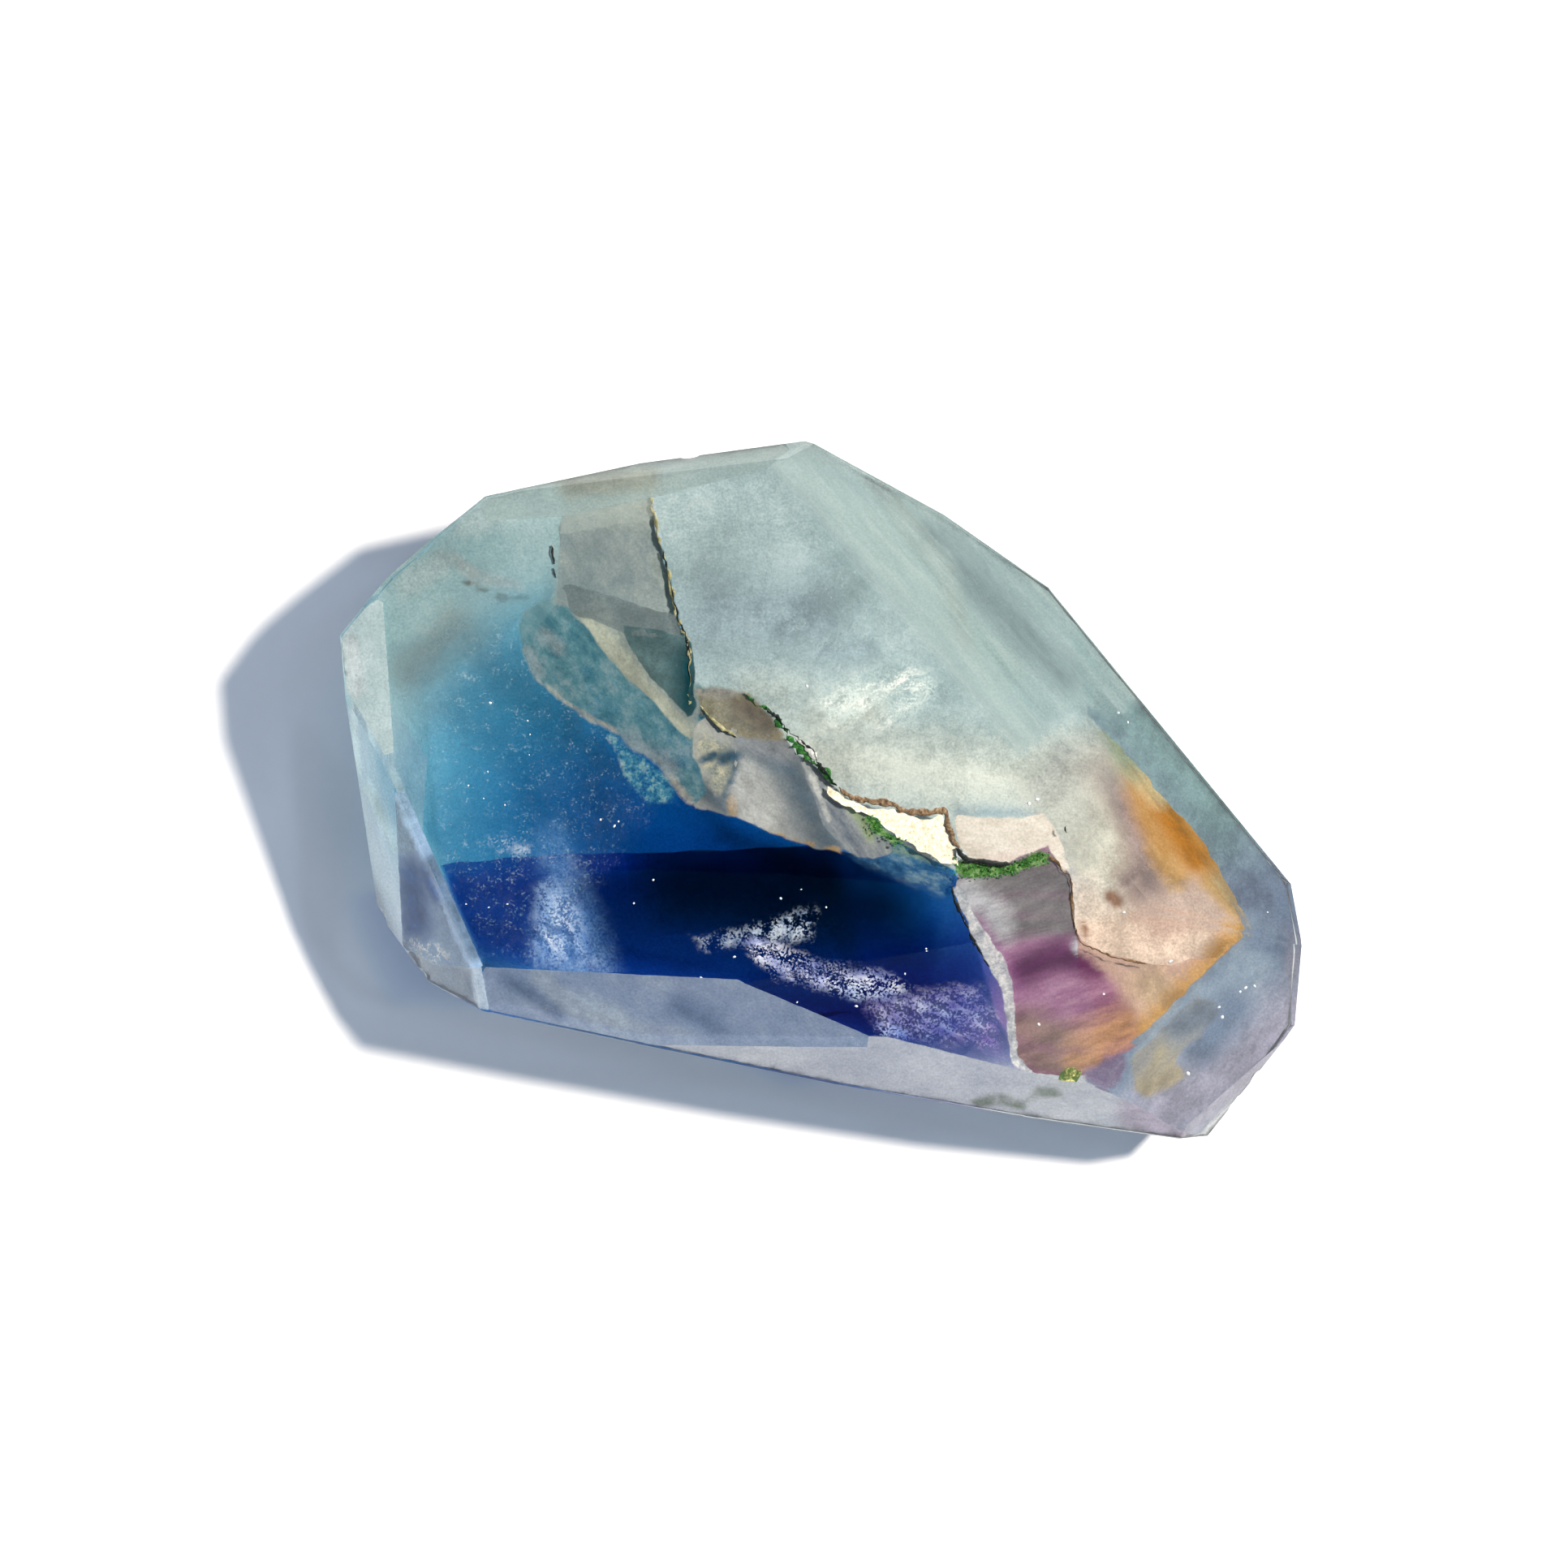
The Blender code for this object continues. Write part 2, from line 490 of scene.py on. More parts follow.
def finish_piece(name, points, faces, material, attributes):
    """Makes the object from points in millimetres, gives it its finish and hangs it on the root body."""
    mesh = bpy.data.meshes.new(name)
    mesh.from_pydata([tuple(Vector(p) * MM) for p in points], [], faces)
    for key, values in attributes.items():
        mesh.attributes.new(key, "FLOAT", "POINT").data.foreach_set("value", np.asarray(values, np.float32))
    mesh.materials.append(material)
    mesh.shade_smooth()
    piece = bpy.data.objects.new(name, mesh)
    bpy.context.scene.collection.objects.link(piece)
    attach(piece, "root")
    extent = np.ptp(np.array([tuple(p) for p in points]), axis=0)
    print(f"{name}: {len(faces)} faces, {' x '.join(f'{side:.1f}' for side in extent)} mm")
    return piece

# %% [markdown]
# ## Sheets
# Nearly everything inside is a *sheet*: a thin crumpled skin with a free outline, such as a veil, a
# healed fracture or a stain. It is built as one layer of triangles on its level, raised and lowered by
# soft noise. Where a sheet changes tone, it is washed: a stroke of picture points says where, and the
# finish says with which tone. The values are kept at the points of the mesh, so nothing has to be
# painted.

# %% Sheets
seeds = iter(range(1, 1000))  # each piece takes the next number, so that no two are crumpled alike


def wash_weight(flat, strokes, level):
    """How strongly each point is washed, from 0 to 1.

    A stroke is a line of picture points and how far it reaches to each side in millimetres.
    """
    weight = np.zeros(len(flat))
    for pixels, reach in strokes:
        line = np.array([reach_level(pixel, level) for pixel in pixels])
        near = line_distance(flat, line) if len(line) > 1 else np.linalg.norm(flat - line[0], axis=1)
        weight = np.maximum(weight, np.clip(1 - near / reach, 0, 1))
    return weight


def make_sheet(
    name, outline, level, material, step, wander=0.2, crumple=0.3, crumple_size=4.0, soft_side=None,
    washes=(), through=None,
):
    """A crumpled skin whose outline is seen at these picture points.

    It may fade out towards its rim, or only towards its soft side, which is a line of picture points.
    `washes` holds strokes for each wash tone of its finish. `through` is a picture point on the facet
    that the whole outline is seen through.
    """
    seed = next(seeds)
    rim = np.array([reach_level(pixel, level, through) for pixel in outline])
    border = ragged(rim, step, wander, seed)
    flat, faces, distance = net(border, step, seed)
    if soft_side:
        line = np.array([reach_level(pixel, level) for pixel in soft_side])
        distance = line_distance(flat, line)
    points = []
    for x, y in flat:
        bump = noise.fractal(Vector((x, y, seed * 7.0)) / crumple_size, 0.7, 2.0, 4)
        points.append(keep_inside(Vector((x, y, level(x, y) + crumple * bump))))
    attributes = {"rim": distance}
    for number, strokes in enumerate(washes):
        attributes[f"wash_{number}"] = wash_weight(flat, strokes, level)
    return finish_piece(name, points, faces, material, attributes)

# %% [markdown]
# ## Milky skins
# Where the crystal broke and healed, or took in tiny bubbles, a thin skin inside it scatters light and
# looks milky. All such skins share one build, split over the next cells. First its tones: hex colours as
# they should be seen from outside, and a ramp that turns a noise value into one of them. The ramp holds a
# short row of tones from dark to pale rather than two, because real veils change their hue with their
# brightness too.

# %% Tones of a milky skin
LIGHT_BACK = 1.03  # how bright a white skin inside the stone looks from outside
WASH_SHADE = 0.8  # the darkest blotches of a wash against its own tone


def darker(hex_colour):
    """The same hex colour with each channel a little lower."""
    return "".join(f"{round(int(hex_colour[i : i + 2], 16) * WASH_SHADE):02x}" for i in (0, 2, 4))


def seen_as(hex_colour):
    """The colour that a skin inside the stone needs to be seen as this one from outside."""
    return (*(min(1.0, channel / LIGHT_BACK) for channel in linear(hex_colour)[:3]), 1.0)


def tone_ramp(tree, value, tones, contrast):
    """Turns a value into one of the hex tones, spread evenly between the two ends of the contrast."""
    ramp = add_node(tree, "ValToRGB", {"Fac": value})
    stops = ramp.color_ramp.elements
    while len(stops) < len(tones):
        stops.new(0.5)
    for index, tone in enumerate(tones):
        stops[index].position = contrast[0] + (contrast[1] - contrast[0]) * index / max(1, len(tones) - 1)
        stops[index].color = seen_as(tone)
    return ramp.outputs["Color"]


print("a mid grey skin is given the colour", [round(channel, 3) for channel in seen_as("808080")])

# %% [markdown]
# ## Colour of a milky skin
# Cloudy noise picks the tone. A finer noise, the blotches, is mixed in so that no cloud is smooth. Washes
# lie over that where the mesh says so; the blotches eat into their borders. Last, each mineral grain is
# made a little darker or paler than its neighbour. The sizes are real ones: blotches of 0.8 mm, grains of
# 0.2 mm, which is coarser than the real grains so that they still show.

# %% Colour of a milky skin
BLOTCH_SIZE = 0.8  # millimetres
GRIT_SIZE = 0.2
GRIT_SHADES = (0.88, 1.12)  # the darkest and the lightest grains against the tone of the skin
WASH_BITE = 0.7  # how far the blotches eat into the border of a wash
WASH_LEVEL = 0.85  # the value at which a wash starts to show


def washed(tree, colour, blotch, value, washes):
    """Lays each wash, a pair of a hex tone and how soft its edge is, over the colour."""
    for number, (tone, softness) in enumerate(washes):
        weight = add_node(tree, "Attribute", attribute_name=f"wash_{number}").outputs["Fac"]
        uneven = add_node(tree, "Math", {0: blotch, 1: WASH_BITE, 2: weight}, operation="MULTIPLY_ADD")
        low, high = WASH_LEVEL - softness / 2, WASH_LEVEL + softness / 2
        reach = {"Value": uneven.outputs["Value"], "From Min": low, "From Max": high}
        share = add_node(tree, "MapRange", reach, interpolation_type="SMOOTHSTEP").outputs["Result"]
        wash = tone_ramp(tree, value, [darker(tone), tone], (0.2, 0.8))
        mixed = add_node(tree, "MixRGB", {"Fac": share, "Color1": colour, "Color2": wash})
        colour = mixed.outputs["Color"]
    return colour


def grained(tree, colour, fine):
    """Makes each grain of the skin a little darker or paler."""
    low, high = GRIT_SHADES
    shades = {"Value": fine, "From Min": 0.3, "From Max": 0.7, "To Min": low, "To Max": high}
    grains = add_node(tree, "MapRange", shades).outputs["Result"]
    both = {"Fac": 1.0, "Color1": colour, "Color2": grains}
    return add_node(tree, "MixRGB", both, blend_type="MULTIPLY").outputs["Color"]


def clouded(tree, drawn, blotch, mottle, contrast):
    """Large clouds with blotches in them, as a value from 0 to 1."""
    noisy = {"Vector": drawn, "Scale": 1.0, "Detail": 6.0, "Roughness": 0.6}
    clouds = add_node(tree, "TexNoise", noisy).outputs["Fac"]
    mixed = add_node(tree, "Math", {0: blotch, 1: mottle, 2: clouds}, operation="MULTIPLY_ADD")
    low, high = contrast[0] + mottle / 2, contrast[1] + mottle / 2
    spread = {"Value": mixed.outputs["Value"], "From Min": low, "From Max": high}
    return add_node(tree, "MapRange", spread).outputs["Result"]

# %% [markdown]
# ## How much of a milky skin is there
# A veil thins out towards its rim, and many have holes. The rim is torn by the blotches. The holes follow
# a stretched noise with fine grains mixed in, so that they look frayed rather than cut out.

# %% How much of a milky skin is there
TORN = 1.4  # how ragged a rim is against the width over which it fades, up to one millimetre


def thinned(tree, blotch, fade, most):
    """The share of the skin that is there: none at its rim and `most` of it further in."""
    rim = add_node(tree, "Attribute", attribute_name="rim").outputs["Fac"]
    tear = min(fade, 1.0) * TORN
    torn = add_node(tree, "Math", {0: blotch, 1: tear, 2: rim}, operation="MULTIPLY_ADD").outputs["Value"]
    low, high = tear / 2, fade + tear / 2
    reach = {"Value": torn, "From Min": low, "From Max": high, "To Max": most}
    return add_node(tree, "MapRange", reach, interpolation_type="SMOOTHSTEP").outputs["Result"]


def holed(tree, amount, drawn, fine, scale, gaps, grit, least):
    """Opens holes in the skin where the noise is low, down to the share `least`."""
    drift = {"Vector": drawn, "Scale": scale, "Detail": 8.0, "Roughness": 0.65, "Distortion": 0.4}
    drifts = add_node(tree, "TexNoise", drift).outputs["Fac"]
    speckled = add_node(tree, "Math", {0: fine, 1: grit, 2: drifts}, operation="MULTIPLY_ADD")
    low, high = gaps[0] + grit / 2, gaps[1] + grit / 2
    reach = {"Value": speckled.outputs["Value"], "From Min": low, "From Max": high, "To Min": least}
    there = add_node(tree, "MapRange", reach, interpolation_type="SMOOTHSTEP").outputs["Result"]
    return add_node(tree, "Math", {0: there, 1: amount}, operation="MULTIPLY").outputs["Value"]

# %% [markdown]
# ## Light on a milky skin
# A cloud of bubbles scatters light evenly, whichever way the skin lies, so its shading normal always
# points up, and a little of the light that it catches comes out on its far side. Lamp light mostly passes
# such a skin, because it is spread rather than stopped, so rays that ask whether a lamp is in view see it
# as nearly clear.

# %% Light on a milky skin
SHEET_SHADE = 0.82  # the share of lamp light that reaches what lies behind a milky skin


def lit_skin(tree, colour, blotch, amount, glow):
    """The finished skin: matt where it is there, clear where it isn't."""
    up = add_node(tree, "CombineXYZ", {"Z": 1.0}).outputs["Vector"]
    bumps = {"Height": blotch, "Strength": 0.4, "Distance": MM * GRIT_SIZE, "Normal": up}
    relief = add_node(tree, "Bump", bumps).outputs["Normal"]
    matt = add_node(tree, "BsdfDiffuse", {"Color": colour, "Normal": relief}).outputs["BSDF"]
    through = add_node(tree, "BsdfTranslucent", {"Color": colour}).outputs["BSDF"]
    skin = add_node(tree, "MixShader", {"Fac": glow, 1: matt, 2: through}).outputs["Shader"]
    clear = add_node(tree, "BsdfTransparent", {"Color": (1.0, 1.0, 1.0, 1.0)}).outputs["BSDF"]
    both = add_node(tree, "MixShader", {"Fac": amount, 1: clear, 2: skin}).outputs["Shader"]
    ray = add_node(tree, "LightPath").outputs["Is Shadow Ray"]
    shade = add_node(tree, "MapRange", {"Value": amount, "To Min": 1.0, "To Max": SHEET_SHADE})
    passing = add_node(tree, "BsdfTransparent", {"Color": shade.outputs["Result"]}).outputs["BSDF"]
    return add_node(tree, "MixShader", {"Fac": ray, 1: both, 2: passing}).outputs["Shader"]

# %% [markdown]
# ## The milky skin as one finish
# The last cells come together in one function, so that each veil, flake and stain below is a single call
# with its own tones. The noise is measured in millimetres in the stone's own frame, which keeps the
# clouds where they are when the stone is turned.

# %% The milky skin as one finish


def veil(
    name, tones, cloud, stretch=1.0, turn=0.0, mottle=0.5, contrast=(0.3, 0.7), washes=(), gaps=None,
    gap_size=2.0, grit=0.22, least=0.0, most=0.97, fade=0.2, glow=0.35,
):
    """A cloudy mineral skin.

    `tones` are hex colours from dark to pale. `cloud` is the size of their clouds in millimetres; they
    are drawn out `stretch` times along the direction `turn`, in degrees from +X. `mottle` is how strongly
    the blotches show in them, and `contrast` the noise values that get the first and the last tone.
    `washes` are pairs of a hex tone and how soft its edge is. `gaps` are the noise values between which
    the skin goes from `least` to `most` there, in holes of about `gap_size` millimetres frayed by `grit`;
    without them it is closed. Over `fade` millimetres it thins out towards its rim. `glow` is the share
    of the light that comes out on its far side.
    """
    material, tree = empty_material(name)
    place = add_node(tree, "TexCoord").outputs["Object"]
    size = (MM * cloud * stretch, MM * cloud, MM * cloud)
    laid = {"Vector": place, "Rotation": (0.0, 0.0, math.radians(turn)), "Scale": size}
    drawn = add_node(tree, "Mapping", laid, vector_type="TEXTURE").outputs["Vector"]
    blotches = {"Vector": drawn, "Scale": cloud / BLOTCH_SIZE, "Detail": 6.0, "Roughness": 0.7}
    blotch = add_node(tree, "TexNoise", blotches).outputs["Fac"]
    fine = add_node(tree, "TexNoise", {"Vector": place, "Scale": 1 / (MM * GRIT_SIZE), "Detail": 2.0})
    value = clouded(tree, drawn, blotch, mottle, contrast)
    colour = washed(tree, tone_ramp(tree, value, tones, (0.0, 1.0)), blotch, value, washes)
    colour = grained(tree, colour, fine.outputs["Fac"])
    amount = thinned(tree, blotch, fade, most)
    if gaps:
        amount = holed(tree, amount, drawn, fine.outputs["Fac"], cloud / gap_size, gaps, grit, least)
    add_node(tree, "OutputMaterial", {"Surface": lit_skin(tree, colour, blotch, amount, glow)})
    print(f"{name}: {len(tree.nodes)} nodes")
    return material

# %% [markdown]
# ## Coloured fluorite
# Fluorite grows in layers, and each layer may take up another trace of colour. A zone is the same mineral
# as the stone round it, so its skin neither bends nor mirrors light; only its body colours what passes
# through. The colour is given as what white light looks like after a path of some millimetres, and turned
# into the absorption that does this.

# %% Zone finish
DARKEST = 0.0005  # keeps the logarithm of a black channel finite


def absorption(tree, seen, path):
    """Absorption that leaves this colour of white light after a path in millimetres."""
    wear = [-math.log(max(channel, DARKEST)) / (path * MM) for channel in linear(seen)[:3]]
    strongest = max(wear)
    colour = [1 - value / strongest for value in wear]
    return add_node(tree, "VolumeAbsorption", {"Color": (*colour, 1.0), "Density": strongest})


def fluorite_zone(name, seen, path):
    """Clear fluorite of a deeper colour."""
    material, tree = empty_material(name)
    open_skin = add_node(tree, "BsdfTransparent", {"Color": (1.0, 1.0, 1.0, 1.0)})
    body = absorption(tree, seen, path)
    both = {"Surface": open_skin.outputs["BSDF"], "Volume": body.outputs["Volume"]}
    add_node(tree, "OutputMaterial", both)
    print(f"{name}: white light turns to #{seen} over {path} mm")
    return material

# %% [markdown]
# ## Zones
# A growth zone is a closed lens of more deeply coloured fluorite. Its finish colours light by the length
# of the path through it, so it has to be a closed body whose faces all point outwards. It thins out
# towards its soft side, which makes its colour fade there as it does in a grown crystal.

# %% Zones
THINNEST = 0.02  # millimetres, where a zone ends
ZONE_STEP = 1.4
ZONE_WANDER = 0.2


def face_out(piece):
    """Turns every face of a closed mesh outwards, so that light knows where the body begins and ends."""
    shell = bmesh.new()
    shell.from_mesh(piece.data)
    bmesh.ops.recalc_face_normals(shell, faces=shell.faces)
    shell.to_mesh(piece.data)
    shell.free()


def make_zone(name, outline, floor_level, roof_level, material, fade, soft_side, margin):
    """A closed lens between two levels.

    Over the first `fade` millimetres from its soft side it grows to full height. It stays `margin`
    millimetres below the surface, each zone its own, because no two of their walls may coincide.
    """
    seed = next(seeds)
    rim = np.array([reach_level(pixel, roof_level) for pixel in outline])
    flat, faces, _ = net(ragged(rim, ZONE_STEP, ZONE_WANDER, seed), ZONE_STEP, seed)
    line = np.array([reach_level(pixel, roof_level) for pixel in soft_side])
    share = np.clip(line_distance(flat, line) / fade, 0, 1)
    share = share * share * (3 - 2 * share)
    low, high = [], []
    for (x, y), part in zip(flat, share):
        top = roof_level(x, y)
        bottom = top - max(THINNEST, (top - min(floor_level(x, y), top - THINNEST)) * part)
        high.append(keep_inside(Vector((x, y, top)), margin))
        under = keep_inside(Vector((x, y, bottom)), margin)
        low.append(Vector((under.x, under.y, min(under.z, high[-1].z - THINNEST))))
    count = len(flat)
    roof = [list(face) for face in faces]
    under_faces = [[i + count for i in reversed(face)] for face in roof]
    edges = {(a, b): True for face in roof for a, b in zip(face, face[1:] + face[:1])}
    sides = [[b, a, a + count, b + count] for a, b in edges if (b, a) not in edges]
    piece = finish_piece(name, high + low, roof + under_faces + sides, material, {})
    face_out(piece)

# %% [markdown]
# ## Colour zones
# The left half is teal, deepening to blue towards the middle. Below it lies a nearly black band whose
# upper edge is straight, because it followed a flat face of the growing crystal, and right of that a
# violet one. All of them end a few millimetres under the crown, so that the flakes and fractures above
# them keep their own colours.

# %% Colour zones
ZONE_TOP = 16.2
ZONE_DEPTH = 4.7
TEAL_EDGE = [(440, 960), (462, 800), (530, 716), (690, 640), (803, 620)]  # where it pales, upper left
TEAL = [(440, 760), (530, 670), (690, 600), (803, 590), (838, 765), (850, 850), (945, 905), (1030, 1000),
        (1180, 1075), (1250, 1335), (1093, 1305), (909, 1225), (598, 1208), (520, 1075), (470, 955),
        (455, 850)]
BLUE_EDGE = [(525, 1068), (535, 1000), (575, 865), (662, 785), (775, 760)]
BLUE = [(550, 1075), (525, 1000), (565, 860), (660, 775), (775, 750), (850, 850), (945, 905),
        (1030, 1000), (1180, 1075), (1180, 1095), (1000, 1080), (800, 1072)]
NAVY_EDGE = [(1275, 1110), (1250, 1225), (1160, 1300), (1090, 1325)]
NAVY = [(541, 1066), (600, 1060), (700, 1052), (787, 1052), (910, 1048), (1000, 1043), (1100, 1060),
        (1180, 1080), (1225, 1110), (1262, 1205), (1190, 1300), (1093, 1305), (909, 1225), (598, 1208)]
BLACK_EDGE = [(752, 1050), (790, 1160), (1000, 1190), (1130, 1206), (1185, 1192), (1170, 1130),
              (1145, 1080)]
BLACK = [(770, 1052), (850, 1049), (1000, 1043), (1090, 1058), (1140, 1085), (1165, 1130), (1180, 1190),
         (1130, 1200), (1000, 1184), (900, 1152), (780, 1150)]
VIOLET_EDGE = [(850, 1190), (1000, 1180), (1100, 1140), (1190, 1080)]
VIOLET = [(850, 1205), (1000, 1195), (1100, 1160), (1190, 1090), (1240, 1150), (1265, 1210), (1280, 1335),
          (1093, 1305), (909, 1225)]

teal = fluorite_zone("teal_fluorite", "4a94b4", 29.0)
blue = fluorite_zone("blue_fluorite", "2080d4", 25.0)
navy = fluorite_zone("navy_fluorite", "2460bc", 17.0)
black = fluorite_zone("black_fluorite", "286438", 28.0)
violet = fluorite_zone("violet_fluorite", "8c70b4", 18.0)
make_zone("teal_zone", TEAL, flat_at(1.6), below_skin(ZONE_DEPTH), teal, 9.5, TEAL_EDGE, margin=1.6)
make_zone("blue_zone", BLUE, flat_at(2.5), flat_at(ZONE_TOP), blue, 24.0, BLUE_EDGE, margin=1.8)
make_zone("navy_zone", NAVY, flat_at(6.0), flat_at(ZONE_TOP + 0.3), navy, 5.0, NAVY_EDGE, margin=2.0)
make_zone("black_zone", BLACK, flat_at(5.0), flat_at(ZONE_TOP - 0.15), black, 5.0, BLACK_EDGE, margin=2.2)
make_zone("violet_zone", VIOLET, flat_at(3.0), flat_at(ZONE_TOP - 0.4), violet, 7.0, VIOLET_EDGE,
          margin=2.4)

# %% [markdown]
# ## Milky base
# Near the base and along the side walls the crystal took in clouds of tiny bubbles. They throw the light
# back up through the coloured zones, which is why those glow instead of looking like dark glass. The
# layer is a shallow bowl: it lies on the base and climbs the walls.

# %% Milky base
BASE_LEVEL = 1.2
BOWL_HEIGHT = 11.0
BOWL_WIDTH = 3.5
walls = [(n, distance) for n, distance in facets if abs(n.z) < 0.5]


def bowl(x, y):
    """A level that lies near the base and climbs steeply beside the side walls."""
    gap = min(distance - n.x * x - n.y * y - n.z * OUTLINE_HEIGHT for n, distance in walls)
    return BASE_LEVEL + BOWL_HEIGHT * max(0.0, min(1.0, 1 - gap / BOWL_WIDTH)) ** 2


ROUND_THE_STONE = [(390, 790), (500, 640), (600, 560), (740, 530), (1000, 500), (1135, 570), (1330, 680),
                   (1590, 1030), (1640, 1085), (1640, 1260), (1510, 1450), (1300, 1430), (1080, 1390),
                   (843, 1340), (600, 1290), (530, 1260), (430, 1150), (400, 996), (390, 860)]
bubble_cloud = veil("bubble_cloud", ["b4bcc4", "ccd4da", "e2e8ea"], cloud=12.0, mottle=0.3, most=1.0,
                    fade=5.0, glow=0.2)
make_sheet("milky_base", ROUND_THE_STONE, bowl, bubble_cloud, step=0.7, crumple=0.05, crumple_size=8.0)

# %% [markdown]
# ## Haze under the outer facets
# Just under the sloping facets lies a haze, and it is partly painted light. Besides some milkiness of the
# outer layers, its tones carry painted reflection of the lit white board that these facets mirror, and
# painted shadow of the shaded board that they show through the clear stone. Each haze follows its facet
# and ends where the facet ends, which is what makes the edges between the facets readable.

# %% Haze on the left
UPPER_LEFT = [(465, 735), (482, 704), (590, 608), (700, 582), (690, 650), (686, 745), (650, 790),
              (600, 860), (520, 960), (478, 980)]
UPPER_LEFT_EDGE = [(735, 790), (650, 800), (590, 860), (510, 960), (480, 990)]
UPPER_STRIP = [([(570, 640), (690, 615)], 2.6), ([(500, 720), (545, 690)], 2.0)]
UPPER_WARM = [([(510, 830), (560, 770)], 3.0)]
UPPER_OLIVE = [([(574, 716), (600, 728), (625, 740), (650, 736)], 0.5)]
UPPER_PALE = [([(560, 690), (590, 712), (640, 722)], 1.0)]
upper_haze = veil("upper_left_haze", ["7c9ca2", "8cacb0", "a0babe"], cloud=7.0, most=0.92, fade=9.0,
                  washes=[("a8bec0", 0.8), ("8e9c98", 1.0), ("70807a", 0.4), ("acc0c2", 0.6)])
make_sheet("upper_left_haze", UPPER_LEFT, below_skin(1.4), upper_haze, step=0.7,
           soft_side=UPPER_LEFT_EDGE, washes=[UPPER_STRIP, UPPER_WARM, UPPER_OLIVE, UPPER_PALE])

# %% [markdown]
# ## Haze in the narrow left strip
# A narrow, steep facet lies at the far left, and the haze under it is the palest of all, nearly white.
# The strip is seen through its own facet, so all of its points are bent at that one facet, given by a
# picture point on it; a strip that was bent at its neighbours would end up beside its place.

# %% Haze in the narrow left strip
LEFT_STRIP = [(415, 787), (428, 762), (471, 733), (487, 955), (433, 861), (420, 845)]
SEEN_THROUGH_STRIP = (455, 820)
STRIP_PALE = [([(432, 790), (440, 850)], 1.3)]
strip_haze = veil("left_strip_haze", ["a8bec4", "b6cace", "c4d6da"], cloud=4.0, fade=0.1,
                  washes=[("ccdade", 0.6)])
make_sheet("left_strip_haze", LEFT_STRIP, below_skin(0.7), strip_haze, step=0.6, wander=0.03, crumple=0.1,
           through=SEEN_THROUGH_STRIP, washes=[STRIP_PALE])

# %% [markdown]
# ## Haze under the left facet
# The long facet at the left shows an even grey-blue haze with painted highlights: a lighter gleam along
# its inner side and its outline, and one small glint. It lies level rather than along the facet, because
# the facet leans away from the lamp and a skin that leaned with it would turn dark.

# %% Haze under the left facet
SEEN_THROUGH_LEFT = (500, 1060)
LEFT_FACET = [(431, 861), (485, 953), (493, 1060), (498, 1160), (530, 1188), (560, 1215), (580, 1238),
              (540, 1232), (505, 1195), (480, 1165), (458, 1134), (445, 1100), (435, 1057), (430, 996),
              (420, 886)]
# painted highlights: a gleam along the inner side and along the outline, and one small glint
LEFT_PAINTED_GLEAM = [([(482, 960), (486, 1040)], 1.4), ([(436, 880), (440, 950)], 0.9)]
LEFT_DUSK = [([(450, 1100), (480, 1155), (520, 1205)], 3.0)]
LEFT_PAINTED_HIGHLIGHT_SPOT = [([(455, 1088), (456, 1108)], 0.5)]
left_haze = veil("left_facet_haze", ["98aab8", "a2b4c2", "b0c0cc"], cloud=4.0, stretch=3.0, turn=100.0,
                 fade=0.1, washes=[("c4d4dc", 0.6), ("94a4b6", 1.0), ("c8d4de", 0.5)])
make_sheet("left_facet_haze", LEFT_FACET, flat_at(12.2), left_haze, step=0.5, wander=0.03, crumple=0.1,
           through=SEEN_THROUGH_LEFT, washes=[LEFT_PAINTED_GLEAM, LEFT_DUSK, LEFT_PAINTED_HIGHLIGHT_SPOT])

# %% [markdown]
# ## Haze in the left wedge and the corner
# Between the left facet and the table lies a wedge that lets the dark band shine through, so its haze is
# bluer. Below it a small corner facet closes the stone. Both hazes follow their facets closely and end at
# sharp lines, which a fade of a tenth of a millimetre gives.

# %% Haze in the left wedge and the corner
LEFT_WEDGE = [(483, 953), (592, 1197), (535, 1190), (496, 1168), (490, 1060)]
WEDGE_BLUE = [([(506, 1078), (512, 1140)], 2.8), ([(525, 1075), (538, 1100)], 1.8)]
WEDGE_PALE = [([(492, 965), (500, 1040)], 1.4)]
# painted shade: a darker wash that evens out a strip along the table's edge which the lamp lights more
WEDGE_PAINTED_SHADE = [([(532, 1060), (585, 1175)], 1.0)]
wedge_haze = veil("left_wedge_haze", ["7c9abe", "8ca8c8", "a0bad0"], cloud=3.0, fade=0.1, most=0.95,
                  glow=0.1, washes=[("3c64a0", 0.9), ("8cacc8", 0.8), ("6c84a0", 0.9)])
make_sheet("left_wedge_haze", LEFT_WEDGE, below_skin(0.9), wedge_haze, step=0.4, wander=0.03, crumple=0.1,
           through=SEEN_THROUGH_LEFT, washes=[WEDGE_BLUE, WEDGE_PALE, WEDGE_PAINTED_SHADE])

CORNER_FACET = [(496, 1166), (535, 1186), (594, 1192), (604, 1250), (560, 1240), (535, 1228), (505, 1195)]
corner_haze = veil("corner_haze", ["a0b4ca", "b0c2d4", "becede"], cloud=3.0, fade=0.05, most=0.95)
make_sheet("corner_haze", CORNER_FACET, below_skin(0.6), corner_haze, step=0.4, wander=0.03, crumple=0.1)

# %% [markdown]
# ## Haze along the lower edge
# Two long facets slope down to the lower edge. The upper one is bluish grey with a pale plume drifting
# into it, the lower one lighter and slightly lilac. Each is a sheet of its own, because the tone changes
# abruptly where the facets meet.

